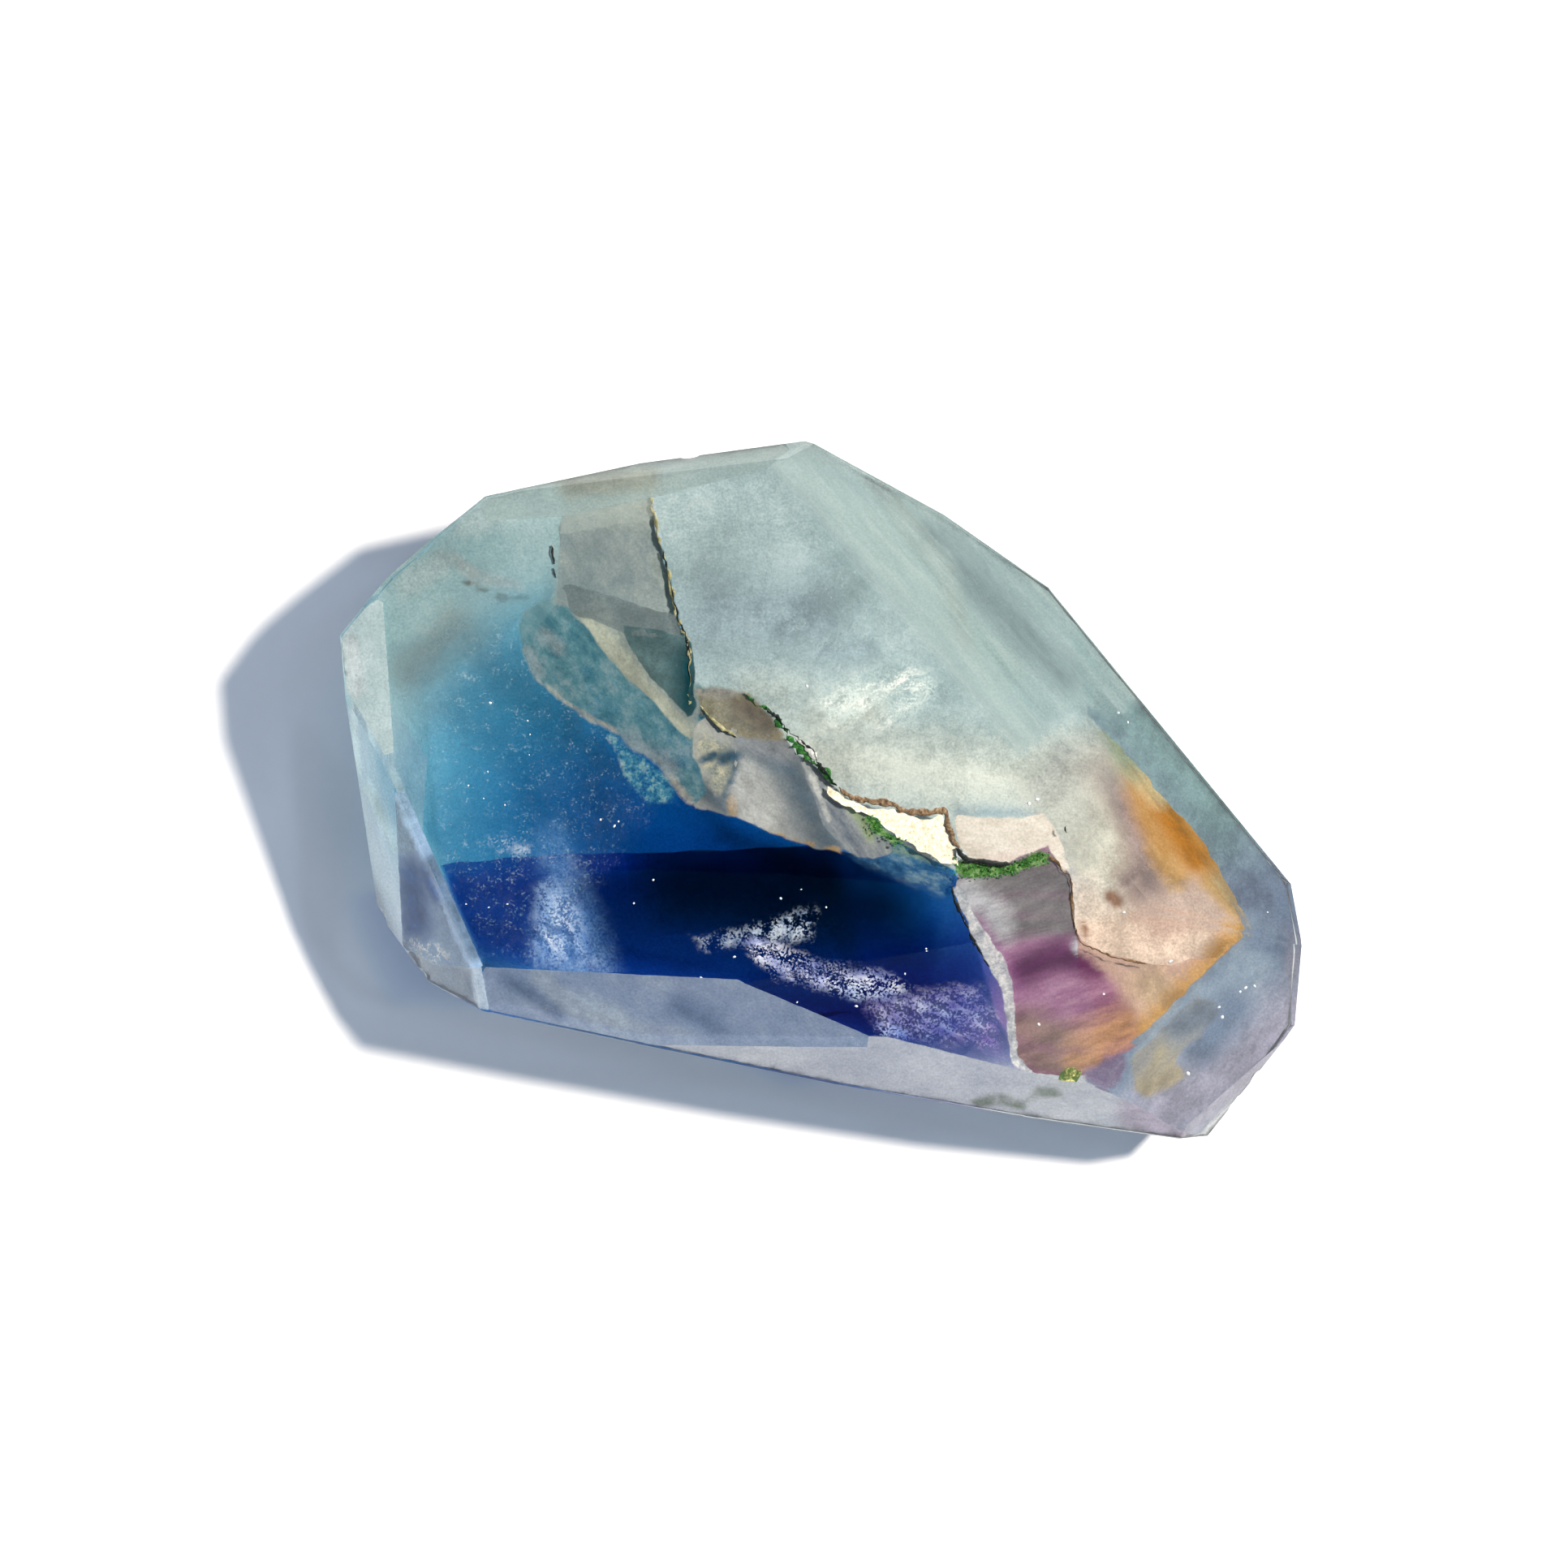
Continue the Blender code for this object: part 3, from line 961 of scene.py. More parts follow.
# %% Haze along the lower edge
SEEN_THROUGH_LOW = (800, 1240)
LOW_FACET = [(590, 1192), (909, 1208), (1103, 1290), (1000, 1290), (790, 1287), (600, 1250)]
LOW_PLUME = [([(665, 1205), (690, 1230), (760, 1255)], 1.9)]
LOW_DARK = [([(620, 1205), (640, 1215), (690, 1250)], 1.0), ([(840, 1240), (880, 1265)], 2.2)]
low_haze = veil("low_facet_haze", ["70849e", "8090aa", "92a2b6"], cloud=4.0, stretch=1.6, turn=-30.0,
                most=0.94, fade=0.05, washes=[("98a8ba", 0.8), ("6c80a0", 1.0)])
make_sheet("low_facet_haze", LOW_FACET, below_skin(0.7), low_haze, step=0.6, wander=0.03, crumple=0.1,
           through=SEEN_THROUGH_LOW, washes=[LOW_PLUME, LOW_DARK])

SEEN_THROUGH_EDGE = (1000, 1305)
LOW_EDGE = [(603, 1232), (790, 1274), (1093, 1278), (1309, 1332), (1342, 1335), (1400, 1362),
            (1445, 1390), (1490, 1418), (1455, 1424), (1300, 1398), (1079, 1357), (843, 1310),
            (603, 1252)]
LOW_EDGE_LILAC = [([(1400, 1372), (1470, 1402)], 3.0)]
LOW_EDGE_GREY = [([(1203, 1359), (1232, 1354), (1260, 1362)], 0.8), ([(1277, 1346), (1304, 1347)], 0.6)]
edge_haze = veil("low_edge_haze", ["a0a8b8", "aeb6c2", "bec4ce"], cloud=4.0, stretch=2.0, turn=-14.0,
                 fade=0.1, washes=[("aeaabe", 0.8), ("86928e", 0.7)])
make_sheet("low_edge_haze", LOW_EDGE, below_skin(0.8), edge_haze, step=0.6, wander=0.03, crumple=0.1,
           through=SEEN_THROUGH_EDGE, washes=[LOW_EDGE_LILAC, LOW_EDGE_GREY])

# %% [markdown]
# ## Haze along the upper edge
# A narrow bevel runs along the upper edge. Its haze is greenish grey with a tan stretch above the main
# crack, where iron came in with the water.

# %% Haze along the upper edge
SEEN_THROUGH_TOP = (800, 585)
TOP_EDGE = [(590, 608), (740, 569), (1003, 534), (943, 573), (800, 603), (700, 622), (597, 630)]
TOP_TAN = [([(700, 600), (800, 590)], 1.6)]
top_haze = veil("top_edge_haze", ["8ea2a4", "9eb0b0", "b0c0be"], cloud=5.0, stretch=3.0, turn=10.0,
                most=0.9, fade=0.1, washes=[("a4aca2", 1.0)])
make_sheet("top_edge_haze", TOP_EDGE, below_skin(0.9), top_haze, step=0.6, wander=0.03, crumple=0.1,
           through=SEEN_THROUGH_TOP, washes=[TOP_TAN])

# %% [markdown]
# ## Streaks under the right facet
# The large facet at the upper right is crossed by streaks that follow the growth of the crystal. They are
# one sheet whose clouds are drawn out six times along the streaks and thin enough to let the milky
# fluorite below shine through, with a second, denser band along the edge of the table.

# %% Streaks under the right facet
SEEN_THROUGH_RIGHT = (1150, 700)
RIGHT_BAND = [(945, 571), (1003, 536), (1040, 570), (1170, 745), (1290, 895), (1264, 941)]
RIGHT_FACET = [(945, 571), (1003, 534), (1138, 600), (1305, 696), (1430, 845), (1380, 900), (1330, 880),
               (1264, 941)]
RIGHT_DARK = [([(1150, 665), (1310, 830)], 3.0), ([(960, 590), (1010, 640)], 1.4)]
RIGHT_STREAK = [([(1075, 590), (1165, 700), (1190, 790)], 1.6)]
streaks = veil("right_facet_streaks", ["8ea4a8", "9eb4b6", "b2c4c4"], cloud=2.0, stretch=6.0, turn=-49.0,
               gaps=(0.15, 0.6), least=0.25, most=0.85, fade=1.5,
               washes=[("8a9ea2", 0.9), ("aebfbe", 0.8)])
make_sheet("right_facet_streaks", RIGHT_FACET, below_skin(1.9), streaks, step=0.7, wander=0.05,
           through=SEEN_THROUGH_RIGHT, washes=[RIGHT_DARK, RIGHT_STREAK])
band = veil("right_band", ["9aacae", "a8b8b8", "b8c6c4"], cloud=1.5, stretch=8.0, turn=-49.0, most=0.55,
            fade=0.6)
make_sheet("right_band", RIGHT_BAND, below_skin(1.2), band, step=0.6, wander=0.05,
           through=SEEN_THROUGH_RIGHT)

# %% [markdown]
# ## Milky upper region
# The upper right half is milky fluorite: growth layers packed with bubbles, greenish grey at the top,
# bluish in the middle and creamy where they meet the fracture. White wisps hang above it.

# %% Milky upper region
MILKY = [(798, 583), (905, 552), (1000, 534), (1135, 598), (1305, 696), (1450, 870), (1565, 1020),
         (1500, 1090), (1330, 1080), (1310, 1060), (1180, 1050), (1030, 985), (1008, 952), (990, 932),
         (970, 918), (950, 898), (938, 882), (920, 868), (880, 862), (858, 872), (846, 800), (836, 760),
         (818, 679)]
CREAMY = [([(1045, 935), (1150, 950), (1270, 960), (1320, 1000)], 6.0),
          ([(1330, 980), (1345, 1070)], 5.0), ([(1010, 890), (1070, 880)], 3.4),
          ([(985, 900), (1005, 920), (1035, 955)], 2.4)]
BLUISH = [([(880, 760), (1000, 760)], 7.0), ([(1020, 800), (1065, 800)], 2.4),
          ([(1180, 1000), (1272, 1003)], 1.0)]
PALER = [([(925, 845), (985, 850)], 2.8), ([(955, 872), (985, 893)], 1.8)]
TAUPE = [([(1300, 965), (1350, 925), (1350, 985)], 4.0)]
GREENISH = [([(1080, 650), (1240, 830)], 3.0)]
milky = veil("milky_fluorite", ["8a9da0", "9bafb2", "b2c2c4"], cloud=6.0, mottle=0.5,
             washes=[("ced4cc", 1.2), ("94a8b0", 1.0), ("98aca6", 1.0), ("b8c6c4", 1.0), ("b8bcb6", 1.0)])
make_sheet("milky_layer", MILKY, below_skin(5.0), milky, step=0.8,
           washes=[CREAMY, BLUISH, GREENISH, PALER, TAUPE])

# %% [markdown]
# ## White wisps
# White wisps and a bright shelf hang above the milky layer, and soft drifts cover all of it. They are
# separate sheets at different depths, so that they slide over each other when the stone is turned, as the
# real ones do. Their holes are fine and fibrous, which keeps them from looking like cloth.

# %% White wisps
UPPER_WISPS = [(985, 850), (1050, 818), (1120, 795), (1190, 830), (1180, 870), (1100, 915), (1000, 910)]
FAN_WISPS = [(985, 840), (1040, 822), (1105, 790), (1085, 830), (1060, 900), (1010, 912), (990, 880)]
BRIGHT_SHELF = [(1020, 925), (1100, 920), (1180, 935), (1262, 940), (1275, 975), (1180, 975), (1050, 965)]
MILK_DRIFTS = [(850, 700), (960, 620), (1080, 640), (1200, 780), (1330, 900), (1300, 960), (1100, 940),
               (980, 900), (880, 800)]
wisps = veil("pale_wisps", ["b0c0c0", "ccd8d6", "eceeea"], cloud=1.8, stretch=2.2, turn=28.0,
             gaps=(0.4, 0.62), most=0.9, fade=2.5, gap_size=1.4, grit=0.5)
shelf = veil("bright_shelf", ["c0c8be", "d0d6cc", "e2e4dc"], cloud=2.0, stretch=3.0, turn=-6.0,
             gaps=(0.35, 0.75), most=0.8, fade=2.0)
drifts = veil("milk_drifts", ["a4b6b8", "b4c4c8", "c8d4d6"], cloud=5.0, stretch=1.8, turn=35.0,
              gaps=(0.48, 0.78), most=0.5, fade=5.0, grit=0.5)
make_sheet("upper_wisps", UPPER_WISPS, below_skin(3.6), wisps, step=0.8, crumple=0.8)
make_sheet("fan_wisps", FAN_WISPS, below_skin(3.0), wisps, step=0.7, crumple=0.8)
make_sheet("bright_shelf", BRIGHT_SHELF, below_skin(3.9), shelf, step=0.7)
make_sheet("milk_drifts", MILK_DRIFTS, below_skin(4.4), drifts, step=0.8, crumple=0.6)

# %% [markdown]
# ## Cleavage flakes
# Fluorite splits along flat planes. In the middle of the stone such splits overlap like roof tiles: a
# grey one on top, a blue-grey and a teal one under it, and a beige one down to the dark band. Their lower
# left borders are crusted with cream-coloured grains, and each catches the light a little differently.

# %% Top flake
TOP_FLAKE = [(697, 605), (801, 595), (808, 640), (818, 679), (830, 730), (838, 765), (848, 790),
             (851, 813), (856, 835), (863, 868), (858, 918), (836, 904), (815, 878), (800, 862),
             (774, 840), (748, 812), (734, 792), (720, 772), (708, 762), (700, 750), (674, 745),
             (680, 728), (684, 709), (681, 689), (684, 652)]
TOP_CREAM = [([(728, 770), (758, 806), (780, 832)], 2.4), ([(780, 832), (818, 872), (846, 905)], 1.5)]
TOP_PALE = [([(700, 610), (800, 625)], 3.6), ([(810, 690), (830, 745)], 1.4)]
grey = veil("grey_cleavage", ["728082", "828f90", "949e9c"], cloud=3.0, stretch=1.6, turn=-60.0,
            fade=0.25, washes=[("b4b8a8", 1.1), ("9aa4a0", 0.8)])
make_sheet("top_flake", TOP_FLAKE, below_skin(2.5), grey, step=0.45, washes=[TOP_CREAM, TOP_PALE])

# %% [markdown]
# ## Steps on the top flake
# The top flake isn't one tone: it split in steps, and their tones are painted reflection, each step
# painted as though it mirrored the light another way. A darker band of painted shade crosses it, a deep
# teal wedge of painted shade lies below that, and a paler step of painted highlight sits at its top. They
# are thin sheets just above the flake, far enough from it that the crumpling of the two doesn't make
# them cross.

# %% Steps on the top flake
DARK_BAND = [(690, 718), (716, 722), (762, 736), (834, 758), (842, 792), (812, 786), (778, 784),
             (752, 776), (730, 764), (706, 758)]
DARK_WEDGE = [(762, 768), (812, 776), (853, 786), (856, 815), (858, 870), (852, 890), (838, 874),
              (820, 856), (797, 830), (778, 804)]
WEDGE_DEEP = [([(848, 815), (850, 870)], 2.4)]
UPPER_STEP = [(690, 660), (740, 652), (806, 641), (801, 598), (697, 606)]
# painted reflection: darker and paler copies of the grey cleavage, one for each step
dark_grey = veil("dark_grey_cleavage", ["5c6a6c", "68767a", "788686"], cloud=2.0, most=0.8, fade=0.15)
dark_teal = veil("dark_teal_cleavage", ["40585c", "50686c", "607c80"], cloud=2.0, most=0.95, fade=0.15,
                 washes=[("0c444e", 1.2)])
pale_grey = veil("pale_grey_cleavage", ["98a4a2", "a4b0ac", "b0b8b2"], cloud=2.0, most=0.5, fade=0.2)
make_sheet("dark_band", DARK_BAND, below_skin(1.9), dark_grey, step=0.45)
make_sheet("dark_wedge", DARK_WEDGE, below_skin(1.9), dark_teal, step=0.45, washes=[WEDGE_DEEP])
make_sheet("upper_step", UPPER_STEP, below_skin(1.9), pale_grey, step=0.45)

# %% [markdown]
# ## Blue-grey flake
# Under the top flake a blue-grey one lies, thin enough to let the teal zone shine through. Its lower left
# border is crusted with cream grains, which a narrow wash along the border gives.

# %% Blue-grey flake
BLUE_GREY_FLAKE = [(641, 795), (643, 813), (655, 835), (675, 855), (700, 872), (720, 888), (745, 900),
                   (757, 906), (768, 920), (790, 933), (806, 945), (822, 962), (835, 982), (850, 997),
                   (880, 990), (880, 850), (780, 800), (716, 745), (670, 735), (645, 750), (636, 770)]
BLUE_GREY_CREAM = [([(646, 815), (662, 840), (700, 868)], 0.55),
                   ([(690, 866), (732, 890), (757, 902)], 0.8),
                   ([(812, 950), (828, 966), (850, 993)], 1.1)]
BLUE_GREY_PALE = [([(770, 915), (825, 945)], 1.6), ([(650, 800), (665, 830)], 0.9),
                  ([(670, 780), (690, 800)], 1.0)]
blue_grey = veil("blue_grey_cleavage", ["3c646e", "587e84", "7c9294"], cloud=1.8, stretch=1.4, turn=-50.0,
                 gaps=(0.05, 0.5), least=0.35, most=0.85, fade=0.4, mottle=0.9,
                 washes=[("b4b2a2", 0.45), ("8a989a", 0.9)])
make_sheet("blue_grey_flake", BLUE_GREY_FLAKE, below_skin(3.6), blue_grey, step=0.45,
           washes=[BLUE_GREY_CREAM, BLUE_GREY_PALE])

# %% [markdown]
# ## Teal tongue
# A small mottled tongue sticks out below the blue-grey flake, half in the dark. It is full of holes, so
# that only its bright crumbs show.

# %% Teal tongue
TEAL_TONGUE = [(741, 904), (757, 928), (763, 945), (772, 965), (790, 985), (802, 997), (820, 990),
               (838, 993), (830, 960), (806, 940), (768, 915), (757, 900)]
TEAL_TONGUE_PALE = [([(743, 908), (762, 945)], 0.8)]
teal_split = veil("teal_cleavage", ["22587c", "3e7e96", "84aaaa"], cloud=0.8, gaps=(0.2, 0.5), most=0.85,
                  fade=0.5, mottle=0.9, washes=[("a0b8ba", 0.5)])
make_sheet("teal_tongue", TEAL_TONGUE, below_skin(4.2), teal_split, step=0.45, washes=[TEAL_TONGUE_PALE])

# %% [markdown]
# ## Beige flake
# The beige flake reaches down to the dark band. It is darker grey along its right side and at its lower
# left, warm where iron stained its border, and pale in the middle, which four washes lay over its cloudy
# base tone.

# %% Beige flake
BEIGE_FLAKE = [(848, 996), (868, 999), (890, 1004), (916, 1012), (950, 1028), (975, 1036), (1000, 1045),
               (1030, 1051), (1060, 1056), (1047, 1046), (1030, 1034), (1017, 1014), (1008, 990),
               (1000, 968), (986, 930), (968, 905), (930, 905), (905, 895), (870, 880), (853, 895),
               (852, 930), (862, 955), (870, 975)]
BEIGE_SHADE = [([(935, 925), (968, 940), (985, 965), (1003, 1000), (1025, 1034)], 3.6),
               ([(862, 972), (898, 996)], 1.6)]
BEIGE_WARM = [([(902, 984), (904, 1000)], 0.9), ([(945, 1024), (985, 1038), (1040, 1050)], 0.45)]
BEIGE_PALE = [([(915, 960), (935, 1000)], 3.0)]
BEIGE_MAUVE = [([(920, 912), (965, 925)], 2.0)]
beige = veil("beige_cleavage", ["8c8e8c", "a0a29e", "b2b2aa"], cloud=3.0, stretch=2.0, turn=-40.0,
             fade=0.2, washes=[("5a6a76", 1.1), ("aa9068", 0.5), ("c4c6c2", 0.9), ("8c9094", 0.8)])
make_sheet("beige_flake", BEIGE_FLAKE, below_skin(3.0), beige, step=0.4,
           washes=[BEIGE_SHADE, BEIGE_WARM, BEIGE_PALE, BEIGE_MAUVE])

# %% [markdown]
# ## Crushed patch
# Where the flakes were pressed together the crystal is crushed to a mosaic. Small clouds with strong
# mottling stand in for the splinters, and dark veins run between them.

# %% Crushed patch
CRUSHED = [(853, 905), (868, 900), (885, 903), (905, 915), (925, 925), (918, 940), (912, 955), (908, 970),
           (900, 985), (890, 992), (874, 980), (864, 958), (856, 940)]
CRUSHED_VEINS = [([(858, 940), (868, 935), (880, 930)], 0.6), ([(890, 935), (905, 930), (922, 926)], 1.2),
                 ([(914, 935), (907, 960), (895, 985)], 1.2), ([(860, 960), (872, 985)], 0.8)]
crushed = veil("crushed_cleavage", ["6c7878", "989c90", "bcb8a2"], cloud=0.9, mottle=1.2, fade=1.0,
               most=0.95, washes=[("34566c", 0.7)])
make_sheet("crushed_patch", CRUSHED, below_skin(2.7), crushed, step=0.35, washes=[CRUSHED_VEINS])

# %% [markdown]
# ## Brown patch
# A brown, glassy patch fills the angle between the main crack and the flakes. Its stain is darkest
# towards the crack that it came from.

# %% Brown patch
BROWN_PATCH = [(849, 845), (880, 843), (920, 850), (940, 868), (956, 882), (968, 900), (976, 916),
               (940, 915), (908, 911), (885, 898), (860, 880)]
BROWN_DARK = [([(918, 872), (945, 890)], 2.0)]
BROWN_GREY = [([(852, 850), (900, 852)], 1.2)]
brown = veil("brown_cleavage", ["706a56", "86806a", "9c9680"], cloud=1.4, most=0.92, fade=0.5, mottle=0.8,
             washes=[("605444", 1.0), ("949088", 0.8)])
make_sheet("brown_patch", BROWN_PATCH, below_skin(2.8), brown, step=0.4, washes=[BROWN_DARK, BROWN_GREY])

# %% [markdown]
# ## Striped strip
# Right of the beige flake a strip shows the cleavage from its side, as fine stripes. Its clouds are drawn
# out four times along the cleavage.

# %% Striped strip
STRIPED = [(975, 926), (1000, 936), (1015, 955), (1030, 970), (1050, 985), (1078, 1005), (1090, 1020),
           (1100, 1036), (1104, 1052), (1075, 1058), (1050, 1056), (1034, 1046), (1010, 1028),
           (998, 1000), (988, 968)]
STRIPED_PALE = [([(1000, 955), (1012, 985), (1022, 1010)], 0.5), ([(1020, 975), (1040, 985)], 0.8)]
STRIPED_GREEN = [([(1045, 990), (1062, 1010), (1072, 1030)], 0.8)]
striped = veil("striped_cleavage", ["646c78", "868c90", "a2a6a0"], cloud=1.2, stretch=4.0, turn=-55.0,
               fade=0.2, washes=[("c6c8c4", 0.5), ("90a07c", 0.7)])
make_sheet("striped_strip", STRIPED, below_skin(3.4), striped, step=0.4,
           washes=[STRIPED_PALE, STRIPED_GREEN])

# %% [markdown]
# ## Blue strip
# Below the crusts a blue mottled strip leads over to the dark band. It is thin and full of holes, and
# slightly green where chlorite grew into it.

# %% Blue strip
BLUE_STRIP = [(1035, 1046), (1045, 1005), (1062, 992), (1085, 996), (1115, 1010), (1150, 1026),
              (1184, 1048), (1186, 1090), (1172, 1112), (1130, 1100), (1090, 1084), (1050, 1064)]
BLUE_STRIP_GREEN = [([(1070, 1038), (1120, 1048), (1170, 1066)], 0.8)]
BLUE_STRIP_DARK = [([(1060, 1075), (1120, 1105), (1165, 1125)], 1.4)]
blue_mottle = veil("blue_mottled_cleavage", ["22486e", "386488", "74909a"], cloud=1.0, stretch=2.0,
                   turn=-25.0, gaps=(0.1, 0.5), most=0.9, fade=1.2, mottle=0.9,
                   washes=[("86a088", 0.6), ("143058", 0.9)])
make_sheet("blue_strip", BLUE_STRIP, below_skin(3.8), blue_mottle, step=0.45,
           washes=[BLUE_STRIP_GREEN, BLUE_STRIP_DARK])

# %% [markdown]
# ## Crusts
# Later solutions left small opaque minerals in the cracks: cream chalcedony, green chlorite moss, brown
# iron oxide. Their grains are picked from a short row of tones.

# %% Crust finish
GRAIN_CONTRAST = (0.35, 0.65)  # the noise values that get the first and the last tone


def mineral(name, tones, grain, roughness=0.7):
    """An opaque mineral whose grains, in millimetres, vary between the hex tones."""
    material, tree = empty_material(name)
    place = add_node(tree, "TexCoord").outputs["Object"]
    noisy = {"Vector": place, "Scale": 1 / (MM * grain), "Detail": 5.0, "Roughness": 0.7}
    grains = add_node(tree, "TexNoise", noisy).outputs["Fac"]
    colour = tone_ramp(tree, grains, tones, GRAIN_CONTRAST)
    bumps = {"Height": grains, "Strength": 0.5, "Distance": MM * grain / 3}
    relief = add_node(tree, "Bump", bumps).outputs["Normal"]
    matt = {"Base Color": colour, "Roughness": roughness, "Normal": relief}
    surface = add_node(tree, "BsdfPrincipled", matt).outputs["BSDF"]
    add_node(tree, "OutputMaterial", {"Surface": surface})
    print(f"{name}: {len(tree.nodes)} nodes")
    return material

# %% [markdown]
# ## Crusts and open cracks
# Where the main fracture opened, minerals grew in the gap: a cream and a pink-white plate of chalcedony,
# a brown seam of iron oxide and moss-green chlorite. The gap itself still shows as a black slit.

# %% Cream plates
CREAM_PLATE = [(1020, 968), (1033, 975), (1042, 985), (1058, 989), (1080, 995), (1100, 996), (1125, 1006),
               (1145, 1008), (1161, 1003), (1168, 1022), (1176, 1045), (1181, 1066), (1170, 1068),
               (1150, 1056), (1125, 1042), (1105, 1030), (1090, 1016), (1072, 1004), (1050, 998),
               (1030, 985), (1018, 976)]
PINK_PLATE = [(1174, 1003), (1215, 1007), (1262, 1006), (1285, 1000), (1298, 1015), (1312, 1045),
              (1320, 1078), (1310, 1076), (1300, 1060), (1290, 1045), (1280, 1048), (1262, 1056),
              (1243, 1064), (1215, 1060), (1192, 1058), (1180, 1040)]
cream = mineral("cream_chalcedony", ["c0b490", "e6dfc8", "f8f4e8"], grain=0.25)
pink = veil("pink_white_chalcedony", ["ccc4b8", "dcd4ca", "e8e2da"], cloud=1.6, stretch=2.0, turn=-10.0,
            most=1.0, fade=0.2)
make_sheet("cream_plate", CREAM_PLATE, below_skin(2.6), cream, step=0.3, wander=0.3, crumple=0.25,
           crumple_size=1.5)
make_sheet("pink_plate", PINK_PLATE, below_skin(2.9), pink, step=0.4, wander=0.15)

# %% [markdown]
# ## Smooth lines
# A crack runs through the stone in a smooth bend. A Catmull-Rom curve goes through every point that it is
# given, so a crack can be drawn with a few points that lie on it.

# %% Smooth lines
CRACK_TAPER = 0.5  # millimetres over which a crack comes to its point
CRACK_LEAN = 0.05  # how far the foot of its wall lies to the side
CURVE_STEPS = 8  # points along the curve from one picture point to the next
CRACK_FLOOR = 1.0  # no wall goes further down than this height above the base


def curve_point(before, start, end, after, part):
    """One coordinate of the Catmull-Rom curve between two points, given their neighbours."""
    turn = (2 * before - 5 * start + 4 * end - after) * part**2
    twist = (3 * start - before - 3 * end + after) * part**3
    return 0.5 * (2 * start + (end - before) * part + turn + twist)


def smooth_line(pixels):
    """A smooth line through picture points."""
    ends = [pixels[0], *pixels, pixels[-1]]
    line = []
    for four in zip(ends, ends[1:], ends[2:], ends[3:]):
        for i in range(CURVE_STEPS):
            line.append(tuple(curve_point(*along, i / CURVE_STEPS) for along in zip(*four)))
    return [*line, pixels[-1]]


print("points of a smooth line through three:", len(smooth_line([(0, 0), (10, 5), (20, 0)])))

# %% [markdown]
# ## Cracks
# Seen from above, a crack is a dark or filled line of changing width. A ribbon follows the smooth line,
# pointed at both ends, with a wall that goes down from one of its sides, so that it also shows from the
# side of the stone.

# %% Cracks


def make_crack(name, pixels, level, material, width, depth=1.0, wander=0.12, swell=1.0):
    """A narrow ribbon along the line, from one side of which a wall goes down into the stone.

    It strays from the line by up to `wander` millimetres, and its width goes up and down by `swell`.
    """
    seed = next(seeds)
    line = np.array([reach_level(pixel, level) for pixel in smooth_line(pixels)])
    along = np.gradient(line, axis=0)
    length = np.maximum(np.linalg.norm(along, axis=1), TINY)
    side = np.stack([-along[:, 1], along[:, 0]], axis=1) / length[:, None]
    run = np.concatenate([[0], np.cumsum(np.linalg.norm(np.diff(line, axis=0), axis=1))])
    rows = []
    for spot, across, way in zip(line, side, run):
        drift = noise.fractal(Vector((spot[0] * 1.3, spot[1] * 1.3, seed)), 0.6, 2.0, 3)
        uneven = noise.fractal(Vector((spot[0], spot[1], seed + 50.0)) * 1.4, 0.6, 2.0, 3)
        pointed = min(1.0, 0.15 + way / CRACK_TAPER, 0.15 + (run[-1] - way) / CRACK_TAPER)
        half = width / 2 * max(0.1, 0.75 + swell * uneven) * pointed
        middle = spot + across * wander * drift
        left, right = middle + across * half, middle - across * half
        foot = middle - across * (half + CRACK_LEAN)
        height = level(*middle)
        low = max(CRACK_FLOOR, height - depth)
        rows.append([(*left, height), (*right, height), (*foot, low)])
    points = [keep_inside(Vector(point)) for row in rows for point in row]
    first = [3 * i + j for i in range(len(rows) - 1) for j in range(2)]
    faces = [(k, k + 1, k + 4, k + 3) for k in first]
    return finish_piece(name, points, faces, material, {"rim": [width] * len(points)})

# %% [markdown]
# ## Seams and cracks
# The cracks differ in what filled them: brown iron oxide, ochre, green chlorite, white crystals, or
# nothing at all, which looks black. Each kind has its own finish, and the lines are drawn with a few
# points each; the noise in the crack builder makes them rough.

# %% Seams and cracks
BROWN_SEAM = [(1034, 970), (1046, 980), (1060, 985), (1076, 987), (1100, 990), (1110, 997), (1128, 1000),
              (1145, 1001), (1163, 999), (1169, 1018), (1176, 1036), (1181, 1046)]
BLACK_SLIT = [(1180, 1044), (1185, 1053), (1194, 1059), (1215, 1062), (1245, 1065)]
OCHRE_CRACK = [(801, 597), (805, 624), (810, 652), (817, 679), (826, 721), (835, 762), (841, 775),
               (848, 790), (849, 813), (849, 850), (849, 868)]
OCHRE_DARK = [(817, 679), (822, 700), (831, 740), (838, 768), (848, 790), (851, 815)]
GREEN_CRACK = [(957, 884), (964, 899), (978, 912), (990, 926), (1003, 938), (1015, 950), (1030, 967)]
GREEN_THREAD = [(918, 853), (926, 862), (932, 868), (943, 872), (957, 885)]
GREEN_CRACK_SHADE = [(943, 872), (957, 882), (970, 898), (990, 914), (1003, 928), (1013, 944),
                     (1031, 968)]
WHITE_THREAD = [(980, 910), (992, 918), (1002, 930), (1008, 936)]
GOLD_THREAD = [(862, 868), (872, 880), (885, 893), (896, 900), (908, 908)]
LOBE_CRACK = [(1292, 1050), (1296, 1058), (1303, 1063), (1310, 1075), (1318, 1079), (1321, 1095),
              (1321, 1120), (1325, 1143), (1331, 1160), (1345, 1167), (1358, 1173), (1382, 1181),
              (1413, 1187)]
RIM_CRACK = [(1174, 1092), (1178, 1114), (1190, 1136), (1202, 1160), (1216, 1185), (1232, 1205),
             (1241, 1232)]
HAIR_CRACKS = [[(1202, 1358), (1225, 1355), (1240, 1352), (1262, 1361)],
               [(1270, 1346), (1283, 1350), (1302, 1346)], [(680, 672), (682, 684), (683, 695)],
               [(682, 700), (684, 712)], [(1313, 1018), (1315, 1026)]]
brown_fill = mineral("iron_oxide", ["2c2218", "6c5238", "8c7458", "b8a284"], grain=0.2)
